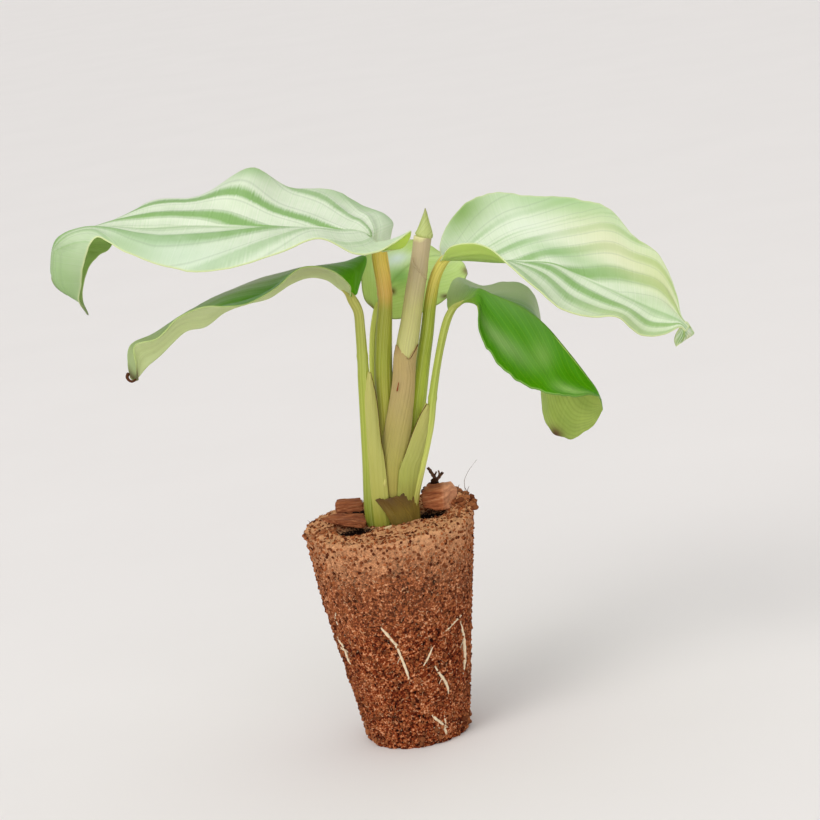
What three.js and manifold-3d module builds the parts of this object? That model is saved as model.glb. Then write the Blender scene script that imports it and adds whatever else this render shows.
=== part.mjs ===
import * as THREE from 'three';
import { mergeVertices } from 'three/addons/utils/BufferGeometryUtils.js';
import { ConvexGeometry } from 'three/addons/geometries/ConvexGeometry.js';
import Module from 'manifold-3d';

// Young calathea orbifolia rooted in a tapered peat plug. Millimetres, +Z up.
// The origin is the centre of the plug's flat base. +X is to the right and -Y towards the viewer.

const wasm = await Module();
wasm.setup();

// Driving dimensions
const PLUG_HEIGHT = 45;
const PLUG_TOP_RADIUS = 17.3;
const PLUG_BASE_RADIUS = 10.2;
const PLUG_RIM_ROUND = 1.5;
const PEAT_ROUGHNESS = 0.42;
const PLUG_SIDES = 52;
const PLUG_RINGS = 19;
const TOP_RINGS = 7;

const STEM_HOLE = { x: 1.3, y: 0.2, halfWidth: 6.9, halfDepth: 5.3, floor: 38 };

const BLADE_THICKNESS = 0.64;
const BLADE_STEPS_ALONG = 27;
const BLADE_STEPS_HALF = 5;

const STEM_SIDES = 10;
const STEM_STEPS = 18;
const CLEARANCE = 0.3;
const SIMPLIFY_WITHIN = 0.01;

const ROOT_RADIUS = 0.34;
const ROOT_SIDES = 5;

// Leaf blades. Each line is one place along the blade, from the petiole to the tip: the two margins, the
// midrib between them, and how far each half arches out of flat.
const UPPER_LEFT_BLADE = [
  { far: [6.8, 1.2, 99.1], rib: [6.4, 0, 99.1], near: [6.6, -1.2, 98.9], arch: [0, 0] },
  { far: [8.4, 3.5, 99.7], rib: [6.1, -0.4, 99.9], near: [9.3, -4.6, 100.8], arch: [0.1, -0.4] },
  { far: [9.3, 7, 101.2], rib: [5.5, -1, 101.2], near: [12.5, -8.5, 103.3], arch: [0.3, -1.4] },
  { far: [9.8, 10.5, 102.6], rib: [4.4, -2, 103.1], near: [9.5, -12.5, 102.1], arch: [0.5, -1.4] },
  { far: [8.1, 12.5, 104.4], rib: [2, -2.6, 104.3], near: [5.8, -15, 101.2], arch: [0.8, -0.6] },
  { far: [4.3, 14, 106.2], rib: [-0.4, -3, 104.8], near: [1.7, -17, 102], arch: [0.8, 0.2] },
  { far: [-1.5, 14, 110.3], rib: [-5.7, -4, 106], near: [-4.5, -18, 106], arch: [0.8, 0.4] },
  { far: [-9.6, 12, 112.4], rib: [-12.8, -6, 107.6], near: [-12.7, -20, 104.5], arch: [0.8, 0.8] },
  { far: [-16.3, 9, 117.6], rib: [-20.7, -7, 108.9], near: [-25.1, -21, 103.3], arch: [1.2, 1.2] },
  { far: [-26.9, 8, 113.7], rib: [-29.3, -8, 110.5], near: [-33.2, -20, 105.2], arch: [1.0, 1.2] },
  { far: [-36.2, 6, 114.4], rib: [-37, -8, 111.1], near: [-40.3, -19, 108.9], arch: [0.8, 1.0] },
  { far: [-41.7, 4, 111.6], rib: [-44, -8, 112.6], near: [-43.4, -17, 111], arch: [0.8, 0.8] },
  { far: [-45.2, 0, 107.4], rib: [-49.8, -8, 112.9], near: [-45.5, -16, 112.1], arch: [0.8, 0.8] },
  { far: [-47.6, -3, 106.6], rib: [-53.9, -10, 112.2], near: [-47.5, -16, 110.5], arch: [0.6, 0.6] },
  { far: [-49.7, -6, 104.7], rib: [-55.7, -11, 108], near: [-49.2, -15, 106.9], arch: [0.5, 0.5] },
  { far: [-50.8, -9, 101.8], rib: [-55.6, -12, 103.5], near: [-50.6, -13, 102.9], arch: [0.3, 0.3] },
  { far: [-50.7, -10.5, 99.1], rib: [-51.4, -11.5, 99.3], near: [-51.5, -12.6, 100.1], arch: [0, 0] },
  { far: [-50, -10.6, 96.9], rib: [-50.4, -11, 96.9], near: [-50.9, -11.4, 97], arch: [0, 0] },
];

const LOWER_LEFT_BLADE = [
  { far: [0.9, 1.2, 91], rib: [0, 0, 90.7], near: [-0.5, -1.2, 91.2], arch: [0, 0] },
  { far: [2, 4.5, 93.2], rib: [-0.7, 0, 91.6], near: [-0.3, -2.4, 92.3], arch: [0.1, 0.1] },
  { far: [3.6, 9, 96.7], rib: [-2.1, 0, 92.7], near: [-0.3, -4.4, 94], arch: [0.4, 0.2] },
  { far: [-0.7, 11, 96], rib: [-4.4, -1, 95.2], near: [-2.8, -7, 97.4], arch: [0.6, 0.5] },
  { far: [-5.3, 10, 96.1], rib: [-7.8, -2, 96.4], near: [-6.3, -9, 99.3], arch: [0.6, 0.5] },
  { far: [-9.9, 9, 96.4], rib: [-11.6, -3, 95.8], near: [-9.8, -11, 99.4], arch: [0.6, 0.5] },
  { far: [-15.6, 8, 95.9], rib: [-16.2, -3.5, 93.8], near: [-14.2, -12, 96.7], arch: [0.6, 0.5] },
  { far: [-20.7, 7, 95.2], rib: [-20.6, -4, 93.4], near: [-19.7, -13, 94.8], arch: [0.6, 0.5] },
  { far: [-25.5, 5, 94.3], rib: [-25, -5, 92.6], near: [-23.9, -14, 95], arch: [0.6, 0.5] },
  { far: [-30, 3, 93.1], rib: [-29, -6, 90.6], near: [-27.8, -14, 95.6], arch: [0.6, 0.5] },
  { far: [-35, 1, 91.4], rib: [-33.1, -7, 90.3], near: [-33.2, -14, 94.2], arch: [0.6, 0.5] },
  { far: [-39.9, -1, 89.4], rib: [-38.4, -8, 86.7], near: [-37.7, -13, 90.8], arch: [0.5, 0.5] },
  { far: [-44.1, -3.6, 88.5], rib: [-41, -9, 85.2], near: [-42.3, -12.6, 90], arch: [0.2, 0.2] },
  { far: [-45, -5.6, 85.2], rib: [-43.1, -9, 83.2], near: [-42.8, -12.2, 85.9], arch: [0, 0] },
  { far: [-44.8, -7.6, 82.8], rib: [-44.1, -9, 82.3], near: [-43.1, -10.4, 82.8], arch: [0, 0] },
];

const UPPER_RIGHT_BLADE = [
  { far: [18.3, 1.2, 96], rib: [18.1, 0, 95.4], near: [17.9, -1.2, 95.4], arch: [0, 0] },
  { far: [18.5, 6, 97.4], rib: [21, -1, 95.3], near: [20.1, -5, 98.4], arch: [0.6, 0.3] },
  { far: [20.5, 10, 100.3], rib: [24.3, -1, 94.7], near: [23.9, -8, 99.1], arch: [0.8, 0.4] },
  { far: [24.3, 12, 103.5], rib: [28.6, -2, 93.9], near: [27.4, -12, 98.2], arch: [1.0, 0.4] },
  { far: [30.4, 13, 105], rib: [33.8, -2, 93], near: [30.9, -16, 94.6], arch: [1.2, 0.4] },
  { far: [37.7, 12, 103.3], rib: [39.5, -3, 91.9], near: [35.1, -18, 90], arch: [1.2, 0.8] },
  { far: [45.9, 11, 101.8], rib: [44.7, -3.5, 88.6], near: [39.1, -18, 85.7], arch: [1.2, 1.0] },
  { far: [52.2, 9, 99.3], rib: [49.6, -4.5, 85.6], near: [44.6, -17, 83.2], arch: [1.0, 0.8] },
  { far: [56.4, 6, 93.9], rib: [54, -5.5, 82.9], near: [49.6, -16, 82.2], arch: [0.8, 0.8] },
  { far: [60.9, 2, 89], rib: [57.7, -6.5, 80.7], near: [53.5, -14, 77.7], arch: [0.6, 0.8] },
  { far: [62.7, -2, 82.6], rib: [60.2, -7.5, 79.4], near: [58.4, -11, 76.5], arch: [0.4, 0.4] },
  { far: [62.6, -6.6, 78.6], rib: [62.1, -8, 78], near: [61.7, -9, 77], arch: [0, 0] },
  { far: [63.8, -8, 76.9], rib: [63.4, -8.3, 76.4], near: [62.8, -8.8, 76], arch: [0, 0] },
];

const LOWER_RIGHT_BLADE = [
  { far: [19.9, 1.3, 86.3], rib: [20.2, 0, 86.6], near: [20.6, -1.1, 86.7], arch: [0, 0] },
  { far: [18.4, 5.5, 86.1], rib: [21.3, -0.1, 87.5], near: [21.4, -3.4, 86.6], arch: [0.2, 0] },
  { far: [18.9, 8.5, 87.7], rib: [22.5, -0.4, 88.5], near: [22.1, -6.2, 85.5], arch: [0.5, 0] },
  { far: [21.2, 9.6, 89.6], rib: [24.7, -1, 88.9], near: [22.5, -8.4, 83.9], arch: [0.8, 0.5] },
  { far: [25.7, 9, 87.4], rib: [27, -2, 87.7], near: [23.4, -10, 81.1], arch: [0.8, 1.4] },
  { far: [30.1, 9, 87.5], rib: [29.9, -3, 86.1], near: [25.1, -12, 77.4], arch: [0.8, 1.6] },
  { far: [34.9, 9, 85.6], rib: [32.9, -4, 84.1], near: [27.7, -13, 74.1], arch: [0.8, 1.6] },
  { far: [36.2, 8, 79.4], rib: [35.6, -5, 81.6], near: [30.4, -13, 71.3], arch: [0.6, 1.6] },
  { far: [34.5, 5, 67.1], rib: [38, -6, 78.4], near: [33.3, -13, 69.8], arch: [1.0, 1.4] },
  { far: [34.6, 4, 58], rib: [40.7, -7, 74], near: [36.2, -14.5, 68.9], arch: [1.5, 1.5] },
  { far: [38.3, 3, 55.6], rib: [42.9, -8, 70.1], near: [39.8, -14, 67.8], arch: [1.4, 1.0] },
  { far: [42.8, -1.5, 58], rib: [44.2, -9, 67.5], near: [42.4, -12.6, 67.3], arch: [0.9, 0.4] },
  { far: [45.1, -7, 62.6], rib: [44.8, -9.5, 65.1], near: [44.3, -11, 66.3], arch: [0, 0] },
];

const BACK_BLADE = [
  { far: [3.6, 4.2, 87], rib: [4.3, 4, 86.7], near: [5, 3.8, 86.3], arch: [0, 0] },
  { far: [2.1, 5, 89.3], rib: [5.1, 5, 88.4], near: [7.3, 4, 84.4], arch: [0.4, 0.4] },
  { far: [2.3, 8, 93.2], rib: [7, 8, 90], near: [12.2, 6, 84.3], arch: [0.6, 0.8] },
  { far: [3.6, 13, 96.2], rib: [9.4, 12, 91.6], near: [16.9, 10, 85.3], arch: [0.8, 0.8] },
  { far: [7.5, 20, 96.9], rib: [12.2, 18, 92.4], near: [20.6, 16, 86.1], arch: [0.8, 0.8] },
  { far: [11.7, 27, 96], rib: [15.3, 25, 92.2], near: [23.3, 24, 87.4], arch: [0.8, 0.8] },
  { far: [15.8, 33, 94], rib: [18.3, 32, 91], near: [23.1, 32, 88.8], arch: [0.6, 0.6] },
  { far: [19.9, 40, 89.3], rib: [20.5, 40.3, 88.6], near: [21.3, 39.8, 88.1], arch: [0, 0] },
];

// Stems. Each line is one place on the centre line, from the top down, then half the width and half the depth.
const UPPER_LEFT_STEM = [
  [6.3, 0, 98.3, 1.6, 1.5],
  [6.4, 0, 93, 1.5, 1.4],
  [6.1, 0.3, 88.7, 1.4, 1.4],
  [5, 0.6, 82.8, 1.6, 1.5],
  [3.7, 0.8, 74.6, 1.8, 1.6],
  [3, 0.9, 66.3, 1.8, 1.6],
  [2.5, 1, 58.9, 1.8, 1.6],
  [2, 1, 51.7, 1.9, 1.6],
  [0.4, 1, 39.3, 1.7, 1.5],
];

const LOWER_LEFT_STEM = [
  [-0.3, 0, 89.7, 1.06, 1.0],
  [0.6, -0.3, 87.7, 0.95, 0.95],
  [0.5, -0.6, 84.5, 0.97, 0.95],
  [0, -1, 77.6, 1.08, 1.0],
  [-0.2, -1.1, 74.6, 1.15, 1.0],
  [-0.2, -1.3, 69.3, 1.75, 1.0],
  [-0.7, -1.5, 62, 2.0, 1.1],
  [-1.1, -1.6, 57, 2.2, 1.2],
  [-1.7, -1.4, 48.5, 2.4, 1.3],
  [-1.9, -1, 40.3, 1.9, 1.4],
];

const UPPER_RIGHT_STEM = [
  [18.4, 0.3, 94.3, 1.0, 1.0],
  [16.5, 0.9, 91.9, 1.1, 1.1],
  [14.9, 1.4, 87.2, 1.2, 1.2],
  [13.4, 1.6, 81.3, 1.3, 1.3],
  [11.7, 1.8, 75.2, 1.4, 1.4],
  [9.6, 1.9, 67.1, 1.5, 1.4],
  [7.2, 1.9, 57.9, 1.6, 1.4],
  [4.8, 1.8, 50, 1.6, 1.4],
  [2.4, 1.6, 38.8, 1.4, 1.3],
];

const LOWER_RIGHT_STEM = [
  [19.8, -0.2, 86, 0.85, 0.85],
  [18.7, -0.6, 85, 0.85, 0.85],
  [17.1, -1, 82.5, 0.78, 0.8],
  [14.9, -1.3, 76.6, 0.72, 0.8],
  [12.8, -1.5, 69.6, 0.8, 0.85],
  [12.2, -1.6, 67.5, 1.0, 0.9],
  [10.5, -1.7, 63.7, 1.75, 1.0],
  [9, -1.8, 60.6, 2.1, 1.0],
  [6.5, -1.9, 55, 2.4, 1.1],
  [4.9, -1.8, 49.9, 2.2, 1.2],
  [2.4, -1.4, 39.7, 1.7, 1.3],
];

const BACK_STEM = [
  [4.1, 4, 85.6, 0.85, 0.8],
  [2.9, 4, 81.8, 0.8, 0.8],
  [1.8, 3.9, 74.4, 0.85, 0.85],
  [1.2, 3.7, 64.6, 1.0, 0.95],
  [1.1, 3.5, 54.3, 1.1, 1.0],
  [0.2, 3.2, 39.1, 1.1, 1.0],
];

const SPEAR_SHEATH = [
  [15, 0, 99.5, 1.75, 1.7],
  [14.1, 0, 96.4, 1.72, 1.7],
  [13.3, 0, 93.5, 1.84, 1.8],
  [12.1, -0.1, 89.7, 1.9, 1.85],
  [10.5, -0.2, 84.1, 2.0, 1.9],
  [9.1, -0.3, 79.5, 2.15, 1.9],
  [7.4, -0.4, 72.8, 2.0, 1.8],
  [5.9, -0.5, 64.9, 1.9, 1.8],
  [4.4, -0.5, 56.9, 1.9, 1.8],
  [2.8, -0.5, 48.8, 1.9, 1.7],
  [1.2, -0.5, 39.6, 1.6, 1.6],
];

const SPEAR_TIP = [
  [16.5, 0.3, 105.9, 0.12, 0.12],
  [16.4, 0.3, 105, 0.4, 0.4],
  [16.1, 0.2, 103.2, 1.0, 0.95],
  [15.7, 0.1, 101.3, 1.55, 1.4],
  [15.2, 0, 99.9, 1.8, 1.7],
];
// Roots that show on the plug's side. Each place is an angle round the plug in degrees, with -90 at the
// front, and a height above the base.
const ROOTS = [
  [[-122, 26], [-118, 22.5]],
  [[-121, 21.5], [-114, 18.5], [-111, 16.5]],
  [[-98, 25.6], [-91, 22], [-86.5, 18.5], [-83.5, 15.5]],
  [[-53, 24.5], [-61, 22], [-71, 19.5]],
  [[-44, 24.6], [-43, 20.5], [-44, 16], [-46, 12.5]],
  [[-77, 17], [-84, 13.6], [-88, 11.5]],
  [[-74, 14], [-66, 10.5], [-61, 7.5]],
  [[-84, 5.6], [-68, 3.4], [-60, 1.6]],
  [[30, 30], [38, 24], [35, 18], [41, 13]],
  [[75, 22], [84, 17], [80, 11]],
  [[118, 33], [112, 27], [119, 21]],
  [[150, 20], [158, 14], [154, 8]],
];

// Bark chips and twig, lying on the peat
const LEFT_BACK_CHIP = [
  [-10.2, 3.2, 45.4], [-4.7, 2.8, 45.2], [-9.6, 6.4, 45.2], [-5.4, 6.6, 45.3],
  [-9.8, 3, 48.1], [-5, 2.6, 47.7], [-9.5, 6, 48.6], [-5.2, 6.3, 48.3], [-7.4, 4.6, 48.9],
];
const LEFT_FRONT_CHIP = [
  [-13, -2.2, 46.5], [-10, 1, 46.3], [-4.9, 0.8, 45.4], [-4.7, -3.6, 44.6], [-9, -6, 45.5],
  [-13.1, -2, 47.5], [-10, 1.2, 47.8], [-4.8, 1, 46.8], [-4.6, -3.8, 45.8], [-8.9, -6.1, 46.8], [-12, -4.2, 46.9],
];
const RIGHT_CHIP = [
  [7.9, 0.6, 45.2], [11.7, -0.6, 44.9], [14, 1.6, 45], [13.4, 5, 45], [8.2, 4.8, 45.2],
  [7.8, 0.8, 47.2], [11.9, -0.8, 46.4], [14.6, 1.3, 47.9], [14.1, 4.6, 48.9], [11.8, 5.4, 49.2], [8, 4.5, 49],
];
const TWIG_STEM = [[11, 6.5, 43.8, 0.45, 0.45], [10.8, 6.4, 46.5, 0.42, 0.42], [10.8, 6, 50.4, 0.42, 0.42]];
const TWIG_ARMS = [
  [[10.85, 6.02, 49.9, 0.34, 0.34], [10.3, 5.8, 51.6, 0.33, 0.33], [9.6, 5.6, 52.9, 0.3, 0.3]],
  [[10.7, 5.97, 49.8, 0.34, 0.34], [11.8, 6, 50.8, 0.33, 0.33], [12.5, 5.8, 51.4, 0.3, 0.3]],
];

// Old dried sheath: part of a ring round the foot of the stems, wider at its torn top edge
const OLD_SHEATH = {
  x: 1.4, y: 0.3, halfWidth: 6.2, halfDepth: 4.1, bottom: 44.3, top: 50.2, tornBy: 0.9,
  bottomFrom: -100, bottomTo: -34, topFrom: -128, topTo: -22, stepsAround: 14, stepsUp: 4,
};

const clampIndex = (index, count) => Math.max(0, Math.min(count - 1, index));

// A smooth curve through a list of points of any size
function along(points, place) {
  const last = points.length - 1;
  const start = Math.min(Math.floor(place), last - 1);
  const f = place - start;
  const b = points[start];
  const c = points[start + 1];
  const a = start > 0 ? points[start - 1] : b.map((v, k) => 2 * v - c[k]);
  const d = start + 2 <= last ? points[start + 2] : c.map((v, k) => 2 * v - b[k]);
  return b.map((v, k) => 0.5 * (2 * v + (c[k] - a[k]) * f
    + (2 * a[k] - 5 * v + 4 * c[k] - d[k]) * f * f
    + (3 * v - a[k] - 3 * c[k] + d[k]) * f * f * f));
}

// Smooth seeded noise in space, from -1 to 1
function corner(i, j, k) {
  const s = Math.sin(i * 127.1 + j * 311.7 + k * 74.7 + 19.3) * 43758.5453;
  return 2 * (s - Math.floor(s)) - 1;
}

function noise(x, y, z) {
  const cell = [x, y, z].map(Math.floor);
  const ease = [x, y, z].map((v, n) => (v - cell[n]) ** 2 * (3 - 2 * (v - cell[n])));
  let sum = 0;
  for (let n = 0; n < 8; n += 1) {
    const step = [n & 1, (n >> 1) & 1, (n >> 2) & 1];
    const weight = step.reduce((w, s, axis) => w * (s ? ease[axis] : 1 - ease[axis]), 1);
    sum += weight * corner(cell[0] + step[0], cell[1] + step[1], cell[2] + step[2]);
  }
  return sum;
}

// A closed geometry from points and triangles, turned so that its faces point outwards
function closed(points, triangles) {
  let volume = 0;
  const p = points.map((q) => new THREE.Vector3(...q));
  for (const [a, b, c] of triangles) volume += p[a].dot(p[b].clone().cross(p[c]));
  const index = triangles.flatMap(([a, b, c]) => (volume < 0 ? [a, c, b] : [a, b, c]));
  const geometry = new THREE.BufferGeometry();
  geometry.setAttribute('position', new THREE.Float32BufferAttribute(points.flat(), 3));
  geometry.setIndex(index);
  return geometry;
}

function toManifold(geometry) {
  const bare = geometry.clone();
  bare.deleteAttribute('normal');
  bare.deleteAttribute('uv');
  const merged = mergeVertices(bare, 1e-4);
  return new wasm.Manifold(new wasm.Mesh({
    numProp: 3,
    vertProperties: new Float32Array(merged.attributes.position.array),
    triVerts: new Uint32Array(merged.index.array),
  }));
}

// The largest body of a cut solid, without scraps
function toGeometry(solid) {
  const parts = solid.simplify(SIMPLIFY_WITHIN).decompose();
  const whole = parts.reduce((best, part) => (part.volume() > best.volume() ? part : best));
  const mesh = whole.getMesh();
  const geometry = new THREE.BufferGeometry();
  geometry.setAttribute('position', new THREE.Float32BufferAttribute(Array.from(mesh.vertProperties), 3));
  geometry.setIndex(Array.from(mesh.triVerts));
  return geometry;
}

// The middle surface of a blade: rows along it, each from the far margin over the midrib to the near one
function bladeSurface(stations, stepsAlong, stepsHalf) {
  const rail = (key) => stations.map((station) => station[key]);
  const far = rail('far');
  const rib = rail('rib');
  const near = rail('near');
  const arch = rail('arch');
  const rows = [];
  for (let i = 0; i <= stepsAlong; i += 1) {
    const place = (i / stepsAlong) * (stations.length - 1);
    const middle = new THREE.Vector3(...along(rib, place));
    const before = new THREE.Vector3(...along(rib, Math.max(0, place - 0.05)));
    const after = new THREE.Vector3(...along(rib, Math.min(stations.length - 1, place + 0.05)));
    const forward = after.sub(before);
    const [farArch, nearArch] = along(arch, place);
    const row = [];
    for (let j = -stepsHalf; j <= stepsHalf; j += 1) {
      const share = Math.abs(j) / stepsHalf;
      const edge = new THREE.Vector3(...along(j < 0 ? far : near, place)).sub(middle);
      const up = new THREE.Vector3().crossVectors(edge, forward).multiplyScalar(j < 0 ? 1 : -1).normalize();
      const lift = (j < 0 ? farArch : nearArch) * 4 * share * (1 - share);
      row.push(middle.clone().addScaledVector(edge, share).addScaledVector(up, lift));
    }
    rows.push(row);
  }
  return rows;
}

// A sheet of even thickness from rows of points, split alike on both faces
function sheet(rows, thickness) {
  const high = rows.length;
  const wide = rows[0].length;
  const points = [];
  const triangles = [];
  for (const side of [1, -1]) {
    for (let i = 0; i < high; i += 1) {
      for (let j = 0; j < wide; j += 1) {
        const ahead = rows[clampIndex(i + 1, high)][j].clone().sub(rows[clampIndex(i - 1, high)][j]);
        const across = rows[i][clampIndex(j + 1, wide)].clone().sub(rows[i][clampIndex(j - 1, wide)]);
        const normal = ahead.cross(across).normalize();
        points.push(rows[i][j].clone().addScaledVector(normal, (side * thickness) / 2).toArray());
      }
    }
  }
  const at = (face, i, j) => face * high * wide + i * wide + j;
  for (let i = 0; i < high - 1; i += 1) {
    for (let j = 0; j < wide - 1; j += 1) {
      triangles.push([at(0, i, j), at(0, i, j + 1), at(0, i + 1, j + 1)]);
      triangles.push([at(0, i, j), at(0, i + 1, j + 1), at(0, i + 1, j)]);
      triangles.push([at(1, i, j), at(1, i + 1, j + 1), at(1, i, j + 1)]);
      triangles.push([at(1, i, j), at(1, i + 1, j), at(1, i + 1, j + 1)]);
    }
  }
  const join = (i, j, k, l) => {
    triangles.push([at(0, i, j), at(1, k, l), at(0, k, l)]);
    triangles.push([at(0, i, j), at(1, i, j), at(1, k, l)]);
  };
  for (let j = 0; j < wide - 1; j += 1) {
    join(0, j, 0, j + 1);
    join(high - 1, j + 1, high - 1, j);
  }
  for (let i = 0; i < high - 1; i += 1) {
    join(i + 1, 0, i, 0);
    join(i, wide - 1, i + 1, wide - 1);
  }
  return closed(points, triangles);
}

// A closed stalk along a centre line, with half widths and half depths, and an extra skin
function stalk(places, steps, sides, skin = 0) {
  const points = [];
  const triangles = [];
  for (let i = 0; i <= steps; i += 1) {
    const place = (i / steps) * (places.length - 1);
    const [x, y, z, halfWidth, halfDepth] = along(places, place);
    const before = along(places, Math.max(0, place - 0.05));
    const after = along(places, Math.min(places.length - 1, place + 0.05));
    const forward = new THREE.Vector3(after[0] - before[0], after[1] - before[1], after[2] - before[2]).normalize();
    const depth = new THREE.Vector3(0, 1, 0).addScaledVector(forward, -forward.y).normalize();
    const width = new THREE.Vector3().crossVectors(depth, forward);
    const end = i === 0 ? -skin : i === steps ? skin : 0;
    for (let j = 0; j < sides; j += 1) {
      const angle = (2 * Math.PI * j) / sides;
      const point = new THREE.Vector3(x, y, z).addScaledVector(forward, end)
        .addScaledVector(width, (halfWidth + skin) * Math.cos(angle))
        .addScaledVector(depth, (halfDepth + skin) * Math.sin(angle));
      points.push(point.toArray());
    }
  }
  for (let i = 0; i < steps; i += 1) {
    for (let j = 0; j < sides; j += 1) {
      const k = (j + 1) % sides;
      triangles.push([i * sides + j, i * sides + k, (i + 1) * sides + k]);
      triangles.push([i * sides + j, (i + 1) * sides + k, (i + 1) * sides + j]);
    }
  }
  for (let j = 1; j < sides - 1; j += 1) {
    triangles.push([0, j + 1, j]);
    triangles.push([steps * sides, steps * sides + j, steps * sides + j + 1]);
  }
  return closed(points, triangles);
}

// Plug radius at a height, and a point of its rough side
function plugRadius(height) {
  return PLUG_BASE_RADIUS + ((PLUG_TOP_RADIUS - PLUG_BASE_RADIUS) * height) / PLUG_HEIGHT;
}

function peatGrain(x, y, z) {
  return PEAT_ROUGHNESS * (0.65 * noise(x / 2.1, y / 2.1, z / 2.1) + 0.35 * noise(x / 1.1 + 7, y / 1.1, z / 1.1));
}

function plugSide(angle, height, lift = 0) {
  const radius = plugRadius(height);
  const x = radius * Math.cos(angle);
  const y = radius * Math.sin(angle);
  const grain = height > 0 ? peatGrain(x, y, height) : 0;
  return [(radius + grain + lift) * Math.cos(angle), (radius + grain + lift) * Math.sin(angle), height];
}

function plugBody() {
  const points = [];
  const triangles = [];
  const rings = [];
  const ring = (place) => {
    const first = points.length;
    for (let j = 0; j < PLUG_SIDES; j += 1) points.push(place((2 * Math.PI * j) / PLUG_SIDES));
    rings.push(first);
  };
  for (let i = 0; i <= PLUG_RINGS; i += 1) {
    const height = ((PLUG_HEIGHT - PLUG_RIM_ROUND) * i) / PLUG_RINGS;
    ring((angle) => plugSide(angle, height));
  }
  for (let i = 0; i < TOP_RINGS; i += 1) {
    const share = (TOP_RINGS - i) / (TOP_RINGS + 0.4);
    ring((angle) => {
      const x = PLUG_TOP_RADIUS * share * Math.cos(angle);
      const y = PLUG_TOP_RADIUS * share * Math.sin(angle);
      const drop = PLUG_RIM_ROUND * 0.8 * share ** 8;
      return [x, y, PLUG_HEIGHT - drop + 1.3 * peatGrain(x, y, 50)];
    });
  }
  for (let i = 0; i < rings.length - 1; i += 1) {
    for (let j = 0; j < PLUG_SIDES; j += 1) {
      const k = (j + 1) % PLUG_SIDES;
      triangles.push([rings[i] + j, rings[i] + k, rings[i + 1] + k]);
      triangles.push([rings[i] + j, rings[i + 1] + k, rings[i + 1] + j]);
    }
  }
  const base = points.push([0, 0, 0]) - 1;
  const top = points.push([0, 0, PLUG_HEIGHT]) - 1;
  const lastRing = rings[rings.length - 1];
  for (let j = 0; j < PLUG_SIDES; j += 1) {
    const k = (j + 1) % PLUG_SIDES;
    triangles.push([base, k, j]);
    triangles.push([top, lastRing + j, lastRing + k]);
  }
  return toManifold(closed(points, triangles));
}

// One root along the plug's side, half sunk in the peat
function root(places) {
  const centre = places.map(([degrees, height], n) => {
    const ends = n === 0 || n === places.length - 1;
    return [...plugSide(THREE.MathUtils.degToRad(degrees), height, ends ? -0.45 : 0.02), ROOT_RADIUS, ROOT_RADIUS];
  });
  return toManifold(stalk(centre, 3 * (places.length - 1), ROOT_SIDES));
}

function stemHole() {
  const tall = PLUG_HEIGHT + 6 - STEM_HOLE.floor;
  const cylinder = new THREE.CylinderGeometry(1, 1, tall, 28).rotateX(Math.PI / 2);
  cylinder.scale(STEM_HOLE.halfWidth, STEM_HOLE.halfDepth, 1);
  cylinder.translate(STEM_HOLE.x, STEM_HOLE.y, STEM_HOLE.floor + tall / 2);
  return toManifold(cylinder);
}

// A chip as the hull of its corners, and the same pushed out by a skin on every side
function chip(corners, skin = 0) {
  const sides = skin > 0 ? [-skin, skin] : [0];
  const hull = [];
  for (const [x, y, z] of corners) {
    for (const dx of sides) for (const dy of sides) for (const dz of sides) hull.push(new THREE.Vector3(x + dx, y + dy, z + dz));
  }
  return toManifold(new ConvexGeometry(hull));
}

function twig(skin = 0) {
  const pieces = [TWIG_STEM, ...TWIG_ARMS].map((places) => toManifold(stalk(places, 3, 6, skin)));
  return wasm.Manifold.union(pieces);
}

function oldSheathRows() {
  const s = OLD_SHEATH;
  const rows = [];
  for (let i = 0; i <= s.stepsUp; i += 1) {
    const up = i / s.stepsUp;
    const row = [];
    for (let j = 0; j <= s.stepsAround; j += 1) {
      const round = j / s.stepsAround;
      const from = s.bottomFrom + (s.topFrom - s.bottomFrom) * up;
      const to = s.bottomTo + (s.topTo - s.bottomTo) * up;
      const angle = THREE.MathUtils.degToRad(from + (to - from) * round);
      const torn = up * s.tornBy * noise(j * 0.9, 3.3, 1.7);
      row.push(new THREE.Vector3(
        s.x + s.halfWidth * Math.cos(angle),
        s.y + s.halfDepth * Math.sin(angle),
        s.bottom + (s.top - s.bottom) * up + torn,
      ));
    }
    rows.push(row);
  }
  return rows;
}

const group = new THREE.Group();

function add(name, geometry, color) {
  geometry.computeVertexNormals();
  const mesh = new THREE.Mesh(geometry, new THREE.MeshStandardMaterial({ color }));
  mesh.name = name;
  group.add(mesh);
}

// Stems, each cut back by a clearance where it presses against the ones before it
const STEMS = [
  ['spear_sheath', SPEAR_SHEATH, 0xc0ae80],
  ['stem_upper_left', UPPER_LEFT_STEM, 0x97a037],
  ['stem_upper_right', UPPER_RIGHT_STEM, 0x97a037],
  ['stem_back', BACK_STEM, 0xa9c24e],
  ['stem_lower_left', LOWER_LEFT_STEM, 0xa9c24e],
  ['stem_lower_right', LOWER_RIGHT_STEM, 0xa9c24e],
];
const stemSkins = [];
for (const [name, places, color] of STEMS) {
  let solid = toManifold(stalk(places, STEM_STEPS, STEM_SIDES));
  for (const skin of stemSkins) solid = solid.subtract(skin);
  stemSkins.push(toManifold(stalk(places, STEM_STEPS, STEM_SIDES, CLEARANCE)));
  add(name, toGeometry(solid), color);
}

// Rolled new leaf, standing in the mouth of its sheath
add('rolled_leaf', stalk(SPEAR_TIP, 8, STEM_SIDES), 0x9ab84a);

// Old sheath round the stem base
let oldSheath = toManifold(sheet(oldSheathRows(), BLADE_THICKNESS));
for (const skin of stemSkins) oldSheath = oldSheath.subtract(skin);
add('old_sheath', toGeometry(oldSheath), 0x8f7a45);

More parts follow.
